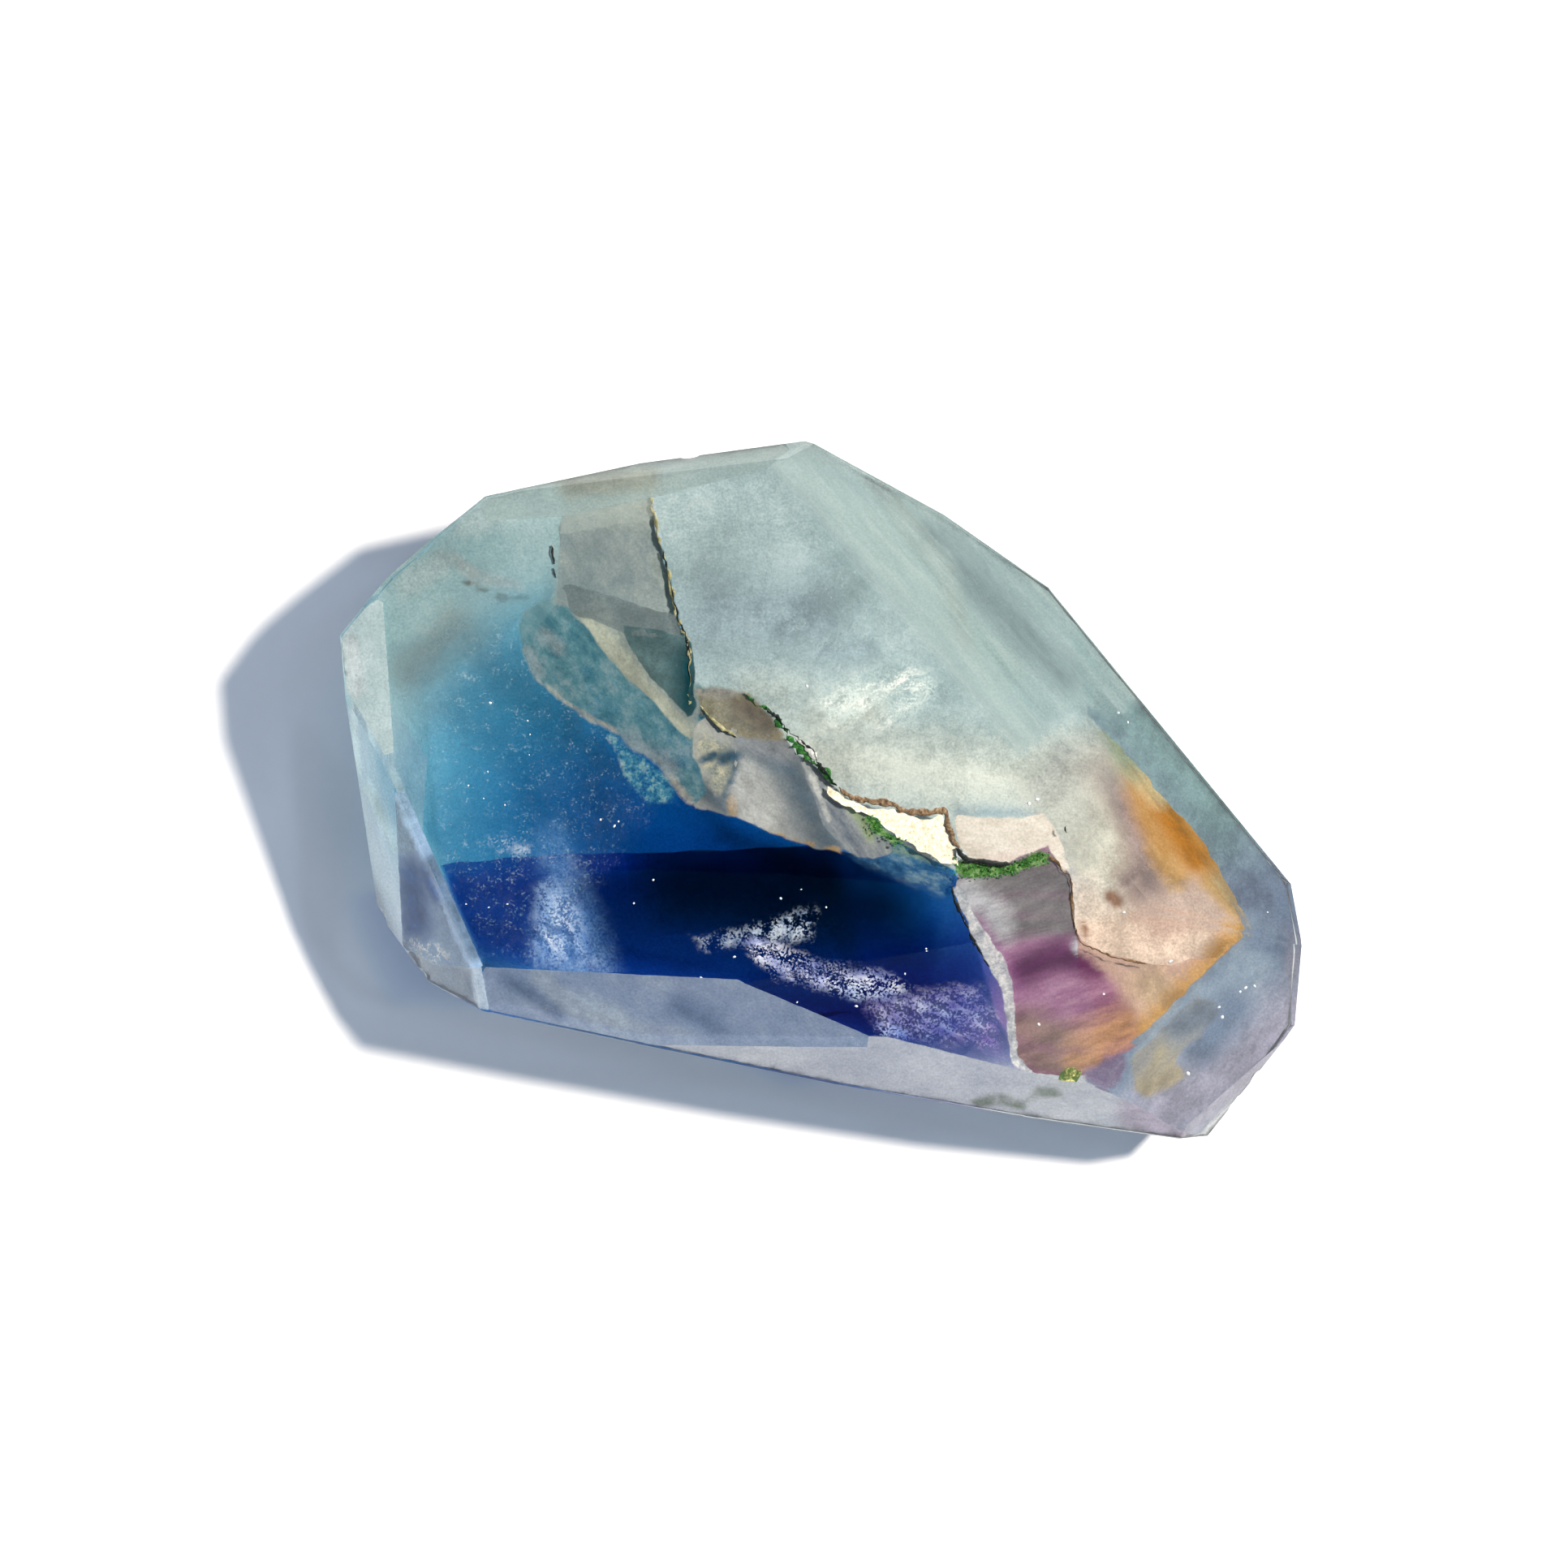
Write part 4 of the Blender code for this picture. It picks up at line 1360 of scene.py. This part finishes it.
open_crack_and_shade = mineral("open_crack_and_shade", ["050806", "0c120e", "1a221c"], grain=0.3, roughness=0.5)
ochre_fill = mineral("ochre_fill", ["6c6c44", "a09c70", "c4c09c"], grain=0.4)
moss = mineral("chlorite_moss", ["0a2a08", "1e6420", "4c8c3c"], grain=0.25)
umber_fill = mineral("umber_fill", ["3a2818", "6c5034", "a08058"], grain=0.4)
white_fill = mineral("white_crystals", ["a8aaa4", "d0d2cc", "eef0ea"], grain=0.3)
make_crack("brown_seam", BROWN_SEAM, below_skin(2.3), brown_fill, width=0.55, swell=0.6)
make_crack("black_slit", BLACK_SLIT, below_skin(1.9), open_crack_and_shade, width=0.45, swell=0.5)
make_crack("ochre_crack", OCHRE_CRACK, below_skin(1.8), ochre_fill, width=0.22, wander=0.25, swell=1.6)
make_crack("ochre_dark", OCHRE_DARK, below_skin(1.7), open_crack_and_shade, width=0.1, depth=0.3, wander=0.2,
           swell=2.0)
make_crack("green_crack", GREEN_CRACK, below_skin(2.6), moss, width=0.7, wander=0.3, swell=1.4)
make_crack("green_thread", GREEN_THREAD, below_skin(2.6), moss, width=0.2, wander=0.2, swell=1.6)
# a black line of painted shade beside the green crack, drawn with the finish of an open crack
make_crack("green_crack_shade", GREEN_CRACK_SHADE, below_skin(2.3), open_crack_and_shade, width=0.12, wander=0.25,
           swell=3.0)
make_crack("white_thread", WHITE_THREAD, below_skin(2.4), white_fill, width=0.4, wander=0.2, swell=1.4)
make_crack("gold_thread", GOLD_THREAD, below_skin(2.5), ochre_fill, width=0.24)
make_crack("lobe_crack", LOBE_CRACK, below_skin(2.8), umber_fill, width=0.14, depth=0.2)
make_crack("rim_crack", RIM_CRACK, below_skin(2.9), open_crack_and_shade, width=0.2)
for number, line in enumerate(HAIR_CRACKS):
    make_crack(f"hair_crack_{number + 1}", line, below_skin(1.2), open_crack_and_shade, width=0.14, depth=0.4)

# %% [markdown]
# ## Grains
# Mineral crusts are heaps of tiny crystals. One rough little ball is copied in mesh code with a new size,
# turn and roughness each time, and all grains of a crust are joined in one mesh, which keeps the scene
# light.

# %% Grains
GRAIN_SQUASH = 0.5  # how high a grain is against its radius
GRAIN_LIFT = 0.3  # millimetres that grains lie above or below their level
ball = bmesh.new()
bmesh.ops.create_icosphere(ball, subdivisions=1, radius=1.0)
BALL = [tuple(vertex.co) for vertex in ball.verts]
BALL_FACES = [[vertex.index for vertex in face.verts] for face in ball.faces]
ball.free()
print("faces of one grain:", len(BALL_FACES))


def add_grain(points, faces, spot, radius, squash, chance):
    """Adds one rough little ball to the points and faces of a mesh."""
    spin = chance.uniform(0, math.tau)
    reach = (radius, radius * chance.uniform(0.5, 1.0), radius * squash)
    start = len(points)
    for corner in BALL:
        rough = chance.uniform(0.7, 1.15)
        dx, dy, dz = (corner[axis] * reach[axis] * rough for axis in range(3))
        turned = (dx * math.cos(spin) - dy * math.sin(spin), dx * math.sin(spin) + dy * math.cos(spin), dz)
        points.append(keep_inside(Vector(spot) + Vector(turned)))
    faces += [[start + i for i in triangle] for triangle in BALL_FACES]


def make_grains(name, outline, level, material, count, size):
    """Many small crystal grains strewn over an outline, joined in one mesh."""
    chance = np.random.default_rng(next(seeds))
    rim = np.array([reach_level(pixel, level) for pixel in outline])
    spots = chance.uniform(rim.min(axis=0), rim.max(axis=0), (count * 12, 2))
    spots = spots[inside_outline(spots, rim)][:count]
    points, faces = [], []
    for x, y in spots:
        height = level(x, y) + chance.uniform(-GRAIN_LIFT, GRAIN_LIFT)
        add_grain(points, faces, (x, y, height), chance.uniform(*size), GRAIN_SQUASH, chance)
    return finish_piece(name, points, faces, material, {"rim": [1.0] * len(points)})

# %% [markdown]
# ## Chlorite moss
# Chlorite grew as moss along the underside of the cream plates. A mottled green skin gives it a body, and
# grains strewn over the skin give it the rough edge that a skin alone can't have.

# %% Chlorite moss
MOSS_BAND = [(1174, 1052), (1176, 1078), (1200, 1084), (1245, 1080), (1270, 1070), (1296, 1066),
             (1292, 1050), (1280, 1046), (1262, 1054), (1240, 1064), (1210, 1062), (1190, 1060)]
MOSS_SPOTS = [(1062, 1003), (1078, 1005), (1092, 1022), (1120, 1036), (1120, 1044), (1100, 1042),
              (1072, 1024)]
moss_veil = veil("moss_veil", ["2c5c24", "4c8038", "84a870"], cloud=0.8, most=0.95, fade=0.3, mottle=1.0)
make_sheet("moss_band", MOSS_BAND, below_skin(2.7), moss_veil, step=0.4)
make_sheet("moss_patch", MOSS_SPOTS, below_skin(2.6), moss_veil, step=0.4)
make_grains("moss_band_grains", MOSS_BAND, below_skin(2.5), moss, 130, size=(0.05, 0.16))
make_grains("moss_patch_grains", MOSS_SPOTS, below_skin(2.5), moss, 60, size=(0.05, 0.16))

# %% [markdown]
# ## Peach and purple lobes
# At the right end two curved fractures face up. The upper one was stained by iron: cream where it starts,
# peach lower down, and amber along its outer rim. The lower one is purple fluorite, veined with grey and
# warmed by the same stain. A white rim of chalcedony closes it off from the dark band.

# %% Lower stained fracture
PINK_LEDGE = [(1325, 1140), (1330, 1200), (1350, 1250), (1350, 1316), (1395, 1292), (1420, 1272),
              (1445, 1247), (1470, 1220), (1500, 1190), (1540, 1145), (1460, 1130), (1400, 1120)]
LEDGE_GOLD = [([(1540, 1148), (1497, 1192), (1468, 1218), (1444, 1245), (1395, 1288)], 2.6)]
LEDGE_PALE = [([(1420, 1215), (1440, 1238)], 3.0)]
ledge = veil("pink_brown_fracture", ["a48a7e", "b49688", "c2a698"], cloud=2.5, stretch=2.0, turn=-60.0,
             washes=[("d4b898", 0.9), ("c09458", 0.8)])
make_sheet("pink_ledge", PINK_LEDGE, below_skin(4.1), ledge, step=0.5, washes=[LEDGE_PALE, LEDGE_GOLD])

# %% [markdown]
# ## Peach lobe
# The upper lobe is cream at its top, mauve where it turns down, and peach and white towards its lower
# border, where it ends in a sharp line. It fades out only towards the milky region that it grew from, so
# its distance is measured from that side alone.

# %% Peach lobe
PEACH_LOBE = [(1288, 1050), (1305, 1070), (1318, 1078), (1320, 1090), (1321, 1115), (1325, 1140),
              (1330, 1158), (1342, 1165), (1358, 1172), (1382, 1180), (1415, 1186), (1442, 1190),
              (1465, 1182), (1500, 1180), (1540, 1144), (1530, 1122), (1495, 1082), (1470, 1040),
              (1400, 960), (1335, 893), (1300, 920), (1280, 985)]
PEACH_OPEN_SIDE = [(1285, 1040), (1285, 985), (1310, 930), (1345, 905)]
PEACH_CREAM = [([(1335, 990), (1345, 1030), (1350, 1090)], 4.4)]
PEACH_MAUVE = [([(1375, 965), (1405, 1030), (1415, 1085)], 2.6), ([(1388, 1086), (1402, 1072)], 1.3)]
PEACH_WHITE = [([(1332, 1100), (1345, 1140), (1370, 1165), (1412, 1180)], 3.0),
               ([(1375, 1135), (1390, 1150)], 2.4), ([(1440, 1172), (1480, 1160)], 2.2)]
PEACH_TAN = [([(1540, 1142), (1510, 1165), (1500, 1178)], 2.2), ([(1490, 1085), (1530, 1125)], 1.6),
             ([(1430, 1050), (1450, 1080)], 2.2)]
PEACH_BROWN = [([(1368, 1104), (1376, 1110)], 1.1), ([(1333, 1142), (1338, 1150)], 0.7)]
peach = veil("iron_stained_fracture", ["b49e94", "c0aca0", "ceb8ac"], cloud=3.0, fade=7.0, most=0.98,
             washes=[("d4d2c6", 0.9), ("a49290", 0.9), ("ecdccc", 0.8), ("c09c68", 0.8), ("967460", 0.7)])
make_sheet("peach_lobe", PEACH_LOBE, below_skin(3.8), peach, step=0.5, soft_side=PEACH_OPEN_SIDE,
           washes=[PEACH_CREAM, PEACH_MAUVE, PEACH_WHITE, PEACH_TAN, PEACH_BROWN])

# %% [markdown]
# ## Amber stain
# Limonite, the rust of iron minerals, stained the outer rim of the lobe amber. The stain is a second
# sheet above the lobe: sharp along the outer line, where the fracture ends, and soft on its inner side.
# It starts olive at the top and is deepest half-way down.

# %% Amber stain
AMBER_STAIN = [(1335, 882), (1372, 912), (1407, 950), (1440, 990), (1477, 1030), (1508, 1080),
               (1545, 1147), (1530, 1150), (1510, 1130), (1490, 1110), (1470, 1092), (1430, 1082),
               (1400, 1045), (1378, 985), (1355, 930)]
AMBER_SOFT_SIDE = [(1335, 882), (1355, 930), (1378, 985), (1400, 1045), (1430, 1082), (1470, 1092),
                   (1490, 1110), (1510, 1130), (1530, 1150)]
AMBER_DARK = [([(1435, 1000), (1475, 1058)], 2.2)]
AMBER_PALE = [([(1500, 1095), (1535, 1145)], 2.6), ([(1405, 955), (1430, 985)], 1.6)]
AMBER_OLIVE = [([(1345, 895), (1385, 935)], 3.4)]
amber = veil("limonite_stain", ["a47c44", "b89058", "c4a474"], cloud=2.0, stretch=2.5, turn=-52.0,
             fade=1.8, washes=[("b07828", 0.9), ("c8b488", 0.9), ("98a48c", 0.9)])
make_sheet("amber_stain", AMBER_STAIN, below_skin(3.1), amber, step=0.5, soft_side=AMBER_SOFT_SIDE,
           washes=[AMBER_DARK, AMBER_PALE, AMBER_OLIVE])

# %% [markdown]
# ## Purple lobe
# The lower lobe is purple fluorite. Bands of grey, magenta and brown cross it, drawn out four times along
# the growth of the crystal, and the same iron stain warms its lower right corner.

# %% Purple lobe
PURPLE_LOBE = [(1177, 1088), (1186, 1060), (1290, 1040), (1318, 1078), (1320, 1095), (1325, 1143),
               (1332, 1160), (1352, 1176), (1378, 1205), (1408, 1248), (1405, 1285), (1356, 1312),
               (1335, 1325), (1290, 1324), (1266, 1320), (1250, 1300), (1243, 1250), (1235, 1208),
               (1212, 1165), (1185, 1122)]
PURPLE_OPEN_SIDE = [(1336, 1165), (1352, 1174), (1380, 1205), (1410, 1250), (1408, 1290)]
PURPLE_GREY = [([(1195, 1088), (1310, 1085)], 4.4), ([(1250, 1112), (1315, 1120)], 3.2),
               ([(1240, 1140), (1320, 1138)], 1.6)]
PURPLE_MAGENTA = [([(1264, 1192), (1305, 1176), (1352, 1188)], 2.4)]
PURPLE_PALE = [([(1195, 1100), (1222, 1118), (1235, 1140)], 2.2)]
PURPLE_BROWN = [([(1260, 1265), (1310, 1280)], 3.0), ([(1255, 1300), (1320, 1315)], 2.4)]
PURPLE_AMBER = [([(1345, 1285), (1400, 1255)], 3.4), ([(1325, 1306), (1350, 1304)], 1.8)]
purple = veil("purple_fracture", ["7c5274", "906686", "a47e98"], cloud=1.4, stretch=4.0, turn=18.0,
              fade=1.4,
              washes=[("7c787c", 0.9), ("602a5a", 0.9), ("bcbcc0", 0.9), ("907874", 0.8), ("b89070", 1.0)])
make_sheet("purple_lobe", PURPLE_LOBE, below_skin(3.2), purple, step=0.4, soft_side=PURPLE_OPEN_SIDE,
           washes=[PURPLE_GREY, PURPLE_MAGENTA, PURPLE_PALE, PURPLE_BROWN, PURPLE_AMBER])

# %% [markdown]
# ## White rim
# A thin rough line of white chalcedony closes the purple lobe off from the dark band. It is a sheet of
# its own in front of both, with a strongly ragged outline.

# %% White rim
WHITE_RIM = [(1172, 1090), (1180, 1115), (1196, 1149), (1217, 1191), (1230, 1212), (1238, 1245),
             (1241, 1279), (1245, 1310), (1262, 1327), (1275, 1323), (1256, 1302), (1253, 1270),
             (1252, 1240), (1248, 1208), (1236, 1178), (1219, 1151), (1200, 1126), (1188, 1094)]
white_rim = veil("white_chalcedony", ["8c929c", "b0b6bc", "dcdedc"], cloud=1.2, most=1.0, fade=0.15,
                 mottle=0.8)
make_sheet("white_rim", WHITE_RIM, below_skin(2.6), white_rim, step=0.25, wander=0.14)

# %% [markdown]
# ## Tail
# Right of the lobes the stone is clear fluorite again, with a khaki flake and a few specks of white
# crystal in it. The sheet under it is partly painted shadow: its slate-blue tone, greener towards the upper
# facet and lilac towards the lower corner, stands for the board in the stone's shadow, seen through the
# faintly tinted stone.

# %% Tail
TAIL = [(1300, 690), (1450, 865), (1570, 1020), (1610, 1080), (1610, 1168), (1610, 1250), (1570, 1305),
        (1500, 1415), (1480, 1425), (1400, 1375), (1320, 1330), (1390, 1286), (1435, 1246), (1465, 1216),
        (1495, 1186), (1534, 1144), (1500, 1085), (1470, 1040), (1400, 960), (1340, 880)]
TAIL_LILAC = [([(1430, 1370), (1540, 1310), (1600, 1250)], 6.0), ([(1590, 1110), (1598, 1200)], 1.8)]
TAIL_SLATE = [([(1500, 1070), (1590, 1120)], 5.0), ([(1545, 1150), (1580, 1158)], 1.4),
              ([(1520, 1240), (1480, 1290)], 3.0)]
TAIL_TEAL = [([(1330, 800), (1440, 920), (1500, 990)], 8.0)]
# partly painted shadow: the shaded board seen through faintly tinted fluorite
tail = veil("slate_tint_and_painted_shadow", ["6c7e94", "7c8ea2", "90a0b0"], cloud=4.0, stretch=1.5, turn=60.0,
            washes=[("a6a6ba", 0.9), ("708098", 0.9), ("84a0a4", 1.1)])
make_sheet("tail_layer", TAIL, below_skin(3.4), tail, step=0.7,
           washes=[TAIL_LILAC, TAIL_SLATE, TAIL_TEAL])

# %% [markdown]
# ## Khaki flake
# A small flake hangs in the tail below the lobes, khaki at its foot and bluish at its head. It is thinner
# than the flakes in the middle, so the tail shines through.

# %% Khaki flake
KHAKI_FLAKE = [(1398, 1292), (1420, 1275), (1452, 1240), (1470, 1224), (1495, 1228), (1507, 1240),
               (1510, 1252), (1492, 1265), (1487, 1278), (1470, 1288), (1457, 1300), (1453, 1308),
               (1467, 1320), (1464, 1330), (1445, 1340), (1425, 1355), (1407, 1357), (1395, 1345),
               (1390, 1327), (1390, 1302)]
KHAKI_WARM = [([(1405, 1345), (1450, 1325)], 2.6), ([(1447, 1250), (1437, 1277), (1420, 1320)], 0.8)]
KHAKI_BLUE = [([(1450, 1262), (1500, 1245)], 3.0)]
khaki = veil("khaki_flake", ["888888", "989690", "a8a494"], cloud=2.0, stretch=2.0, turn=50.0, most=0.85,
             fade=0.6, washes=[("b0a68a", 0.9), ("84909e", 0.9)])
make_sheet("khaki_flake", KHAKI_FLAKE, below_skin(2.6), khaki, step=0.5, washes=[KHAKI_WARM, KHAKI_BLUE])

# %% [markdown]
# ## Violet patch and yellow bit
# Between the purple lobe and the khaki flake the stone is dull violet, and at the tip of the lobe sits a
# bit of yellow-green mineral, opaque like the other crusts. It throws no shadow, which keeps the haze
# below it bright.

# %% Violet patch and yellow bit
VIOLET_PATCH = [(1325, 1322), (1345, 1310), (1362, 1300), (1390, 1286), (1394, 1312), (1382, 1340),
                (1365, 1352), (1335, 1340)]
violet_patch = veil("violet_patch", ["6c607c", "786c84", "888094"], cloud=1.5, most=0.9, fade=0.6)
make_sheet("violet_patch", VIOLET_PATCH, below_skin(2.8), violet_patch, step=0.5)
YELLOW_BIT = [(1286, 1346), (1303, 1332), (1313, 1317), (1329, 1316), (1334, 1326), (1326, 1336),
              (1317, 1343), (1303, 1340)]
yellow_fill = mineral("yellow_green_fill", ["24461a", "4a5c22", "d0c880"], grain=0.45)
yellow_bit = make_sheet("yellow_bit", YELLOW_BIT, below_skin(1.5), yellow_fill, step=0.3, wander=0.4)
yellow_bit.visible_shadow = False

# %% [markdown]
# ## Wisps
# White wisps drift through the dark band, drawn out along the growth of the crystal, a pale plume stands
# at its left, and small white crystals fill the lower left corner. Each kind has its own finish: the
# finer its grit and the narrower the step of its gaps, the more it looks like crystals than like smoke.

# %% Wisps
PLUME = [(650, 1010), (690, 990), (718, 1030), (744, 1097), (762, 1139), (780, 1206), (640, 1206),
         (636, 1150), (652, 1100), (645, 1060)]
PLUME_OPEN_SIDE = [(640, 1210), (636, 1150), (652, 1100), (645, 1060), (650, 1010), (695, 985),
                   (718, 1030), (744, 1097), (762, 1139), (784, 1215)]
PLUME_CORE = [(650, 1090), (685, 1068), (725, 1110), (752, 1206), (655, 1206), (642, 1178), (648, 1140)]
PLUME_TOP = [(588, 1025), (630, 1022), (662, 1040), (668, 1062), (630, 1058), (600, 1050)]
LOW_WISP = [(895, 1145), (935, 1148), (965, 1158), (1015, 1180), (1085, 1188), (1135, 1215), (1100, 1240),
            (1050, 1238), (990, 1220), (945, 1205), (920, 1180)]
LOW_WISP_CORE = [(900, 1148), (935, 1150), (960, 1170), (1010, 1190), (1060, 1200), (1050, 1228),
                 (985, 1212), (935, 1190)]
LACE = [(1050, 1228), (1120, 1216), (1172, 1206), (1212, 1206), (1240, 1255), (1244, 1310), (1180, 1294),
        (1120, 1292), (1075, 1275)]
LACE_CORE = [(1070, 1255), (1110, 1255), (1140, 1280), (1110, 1294), (1075, 1278)]
WISP_DASHES = [(845, 1150), (905, 1140), (970, 1118), (1012, 1110), (1010, 1165), (930, 1170),
               (860, 1178)]
CORNER = [(488, 1152), (522, 1152), (548, 1160), (562, 1172), (558, 1190), (520, 1190), (503, 1178)]
plume = veil("pale_plume", ["5080bc", "6898ca", "90b4da"], cloud=3.0, gaps=(0.2, 0.65), least=0.2,
             most=0.55, fade=3.0, grit=0.5, mottle=0.8)
white_wisp = veil("white_wisps", ["7c94bc", "a0b4d0", "dce8f4"], cloud=1.4, gaps=(0.46, 0.58), most=0.95,
                  fade=1.6, gap_size=1.4, contrast=(0.35, 0.65), grit=0.6)
plume_smoke = veil("plume_smoke", ["6c90c4", "9cb8dc", "dce6f2"], cloud=1.8, stretch=2.0, turn=-65.0,
                   gaps=(0.4, 0.56), least=0.08, most=0.85, fade=2.0, gap_size=1.2, grit=0.6)
corner_crystal = veil("corner_crystals", ["9cacbc", "ccd8e0", "f4f8fc"], cloud=1.0, gaps=(0.48, 0.54),
                      most=0.95, fade=0.8, gap_size=1.3, grit=0.4)
drawn_wisp = veil("drawn_wisps", ["808cc0", "a8b0d8", "e4e8f8"], cloud=1.4, stretch=2.2, turn=-24.0,
                  gaps=(0.45, 0.57), most=0.95, fade=1.2, gap_size=1.2, contrast=(0.35, 0.6), grit=1.0)
lace = veil("lavender_lace", ["6458a0", "988fbc", "dcd6e8"], cloud=1.0, stretch=2.4, turn=-28.0,
            gaps=(0.42, 0.56), least=0.2, most=0.95, fade=1.6, gap_size=0.7, grit=0.8)
make_sheet("pale_plume", PLUME, below_skin(4.4), plume, step=0.6, crumple=0.5, soft_side=PLUME_OPEN_SIDE)
make_sheet("plume_core", PLUME_CORE, below_skin(4.0), plume_smoke, step=0.6, crumple=0.8)
make_sheet("plume_top", PLUME_TOP, below_skin(3.8), white_wisp, step=0.5)
make_sheet("low_wisp", LOW_WISP, below_skin(4.3), drawn_wisp, step=0.5, crumple=0.8)
make_sheet("low_wisp_core", LOW_WISP_CORE, below_skin(3.9), drawn_wisp, step=0.5, crumple=0.8)
make_sheet("lavender_lace", LACE, below_skin(4.1), lace, step=0.5, crumple=0.5)
make_sheet("lace_core", LACE_CORE, below_skin(3.9), drawn_wisp, step=0.5)
make_sheet("wisp_dashes", WISP_DASHES, below_skin(4.1), white_wisp, step=0.6)
make_sheet("corner_crystals", CORNER, below_skin(0.25), corner_crystal, step=0.4, crumple=0.1)

# %% [markdown]
# ## Dust and specks
# Fine dust hangs in the teal, and single specks of white crystal lie in many places; some of the white
# grains are painted highlights, glints put where the polish catches the light. The dust is a sheet with
# far more hole than skin. The specks are single grains, each put at its own spot; they are too small to
# throw a shadow that could be seen.

# %% Dust and specks
SPECK_SCALE = 0.7  # the specks against the radii that are listed with them
SPECK_SQUASH = 0.8


def make_specks(name, spots, level, material):
    """Single grains, each at its own picture point and with its own radius in millimetres."""
    chance = np.random.default_rng(next(seeds))
    points, faces = [], []
    for *pixel, radius in spots:
        x, y = reach_level(pixel, level)
        add_grain(points, faces, (x, y, level(x, y)), radius, SPECK_SQUASH, chance)
    piece = finish_piece(name, points, faces, material, {"rim": [1.0] * len(points)})
    piece.visible_shadow = False
    return piece


DUST = [(470, 960), (500, 800), (600, 720), (690, 700), (760, 880), (820, 1000), (770, 1070), (700, 1150),
        (680, 1206), (598, 1206), (520, 1080)]
# some spots are painted highlights: white grains where the polished surface glints
SPECKS_AND_HIGHLIGHTS = [(604, 866, 0.24), (601, 951, 0.2), (577, 968, 0.16), (596, 984, 0.14), (622, 992, 0.18),
          (650, 888, 0.14), (653, 905, 0.16), (652, 930, 0.12), (757, 1018, 0.28), (762, 1012, 0.16),
          (740, 1010, 0.18), (805, 1084, 0.2), (781, 1113, 0.16), (962, 1107, 0.24), (987, 1096, 0.14),
          (1018, 1118, 0.16), (864, 1205, 0.24), (905, 1179, 0.24), (1115, 1200, 0.2), (1141, 1169, 0.14),
          (982, 1235, 0.16), (1055, 1240, 0.24), (625, 1114, 0.22), (602, 1118, 0.16), (574, 1114, 0.16),
          (836, 763, 0.2), (834, 820, 0.24), (581, 678, 0.22), (1442, 1185, 0.4), (1385, 1124, 0.28),
          (1464, 1323, 0.34), (1535, 1217, 0.34), (1546, 1215, 0.26), (1528, 1222, 0.22),
          (1502, 1241, 0.26), (1506, 1253, 0.3), (1562, 1124, 0.14), (1280, 1262, 0.28),
          (1360, 1225, 0.22), (1278, 985, 0.35), (1268, 990, 0.3), (994, 845, 0.3), (1378, 878, 0.22),
          (1390, 890, 0.2)]
dust = veil("fine_dust", ["6c98ac", "8cb0c0", "c8dce4"], cloud=0.8, gaps=(0.55, 0.85), least=0.07,
            most=0.4, fade=3.0, gap_size=1.0, grit=0.9)
speck_and_highlight_finish = mineral("white_specks_and_painted_highlights", ["c8d4dc", "e8eef2", "ffffff"], grain=0.2, roughness=0.3)
make_sheet("fine_dust", DUST, below_skin(3.6), dust, step=1.0, crumple=0.6)
make_specks("specks", [(x, y, radius * SPECK_SCALE) for x, y, radius in SPECKS_AND_HIGHLIGHTS], below_skin(2.4), speck_and_highlight_finish)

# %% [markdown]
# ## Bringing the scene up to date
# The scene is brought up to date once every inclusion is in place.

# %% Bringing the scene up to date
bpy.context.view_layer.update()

# %% [markdown]
# ## Finish
# The last cell prints how many inclusions were made.

# %% Finish
print("inclusions made:", next(seeds) - 1)
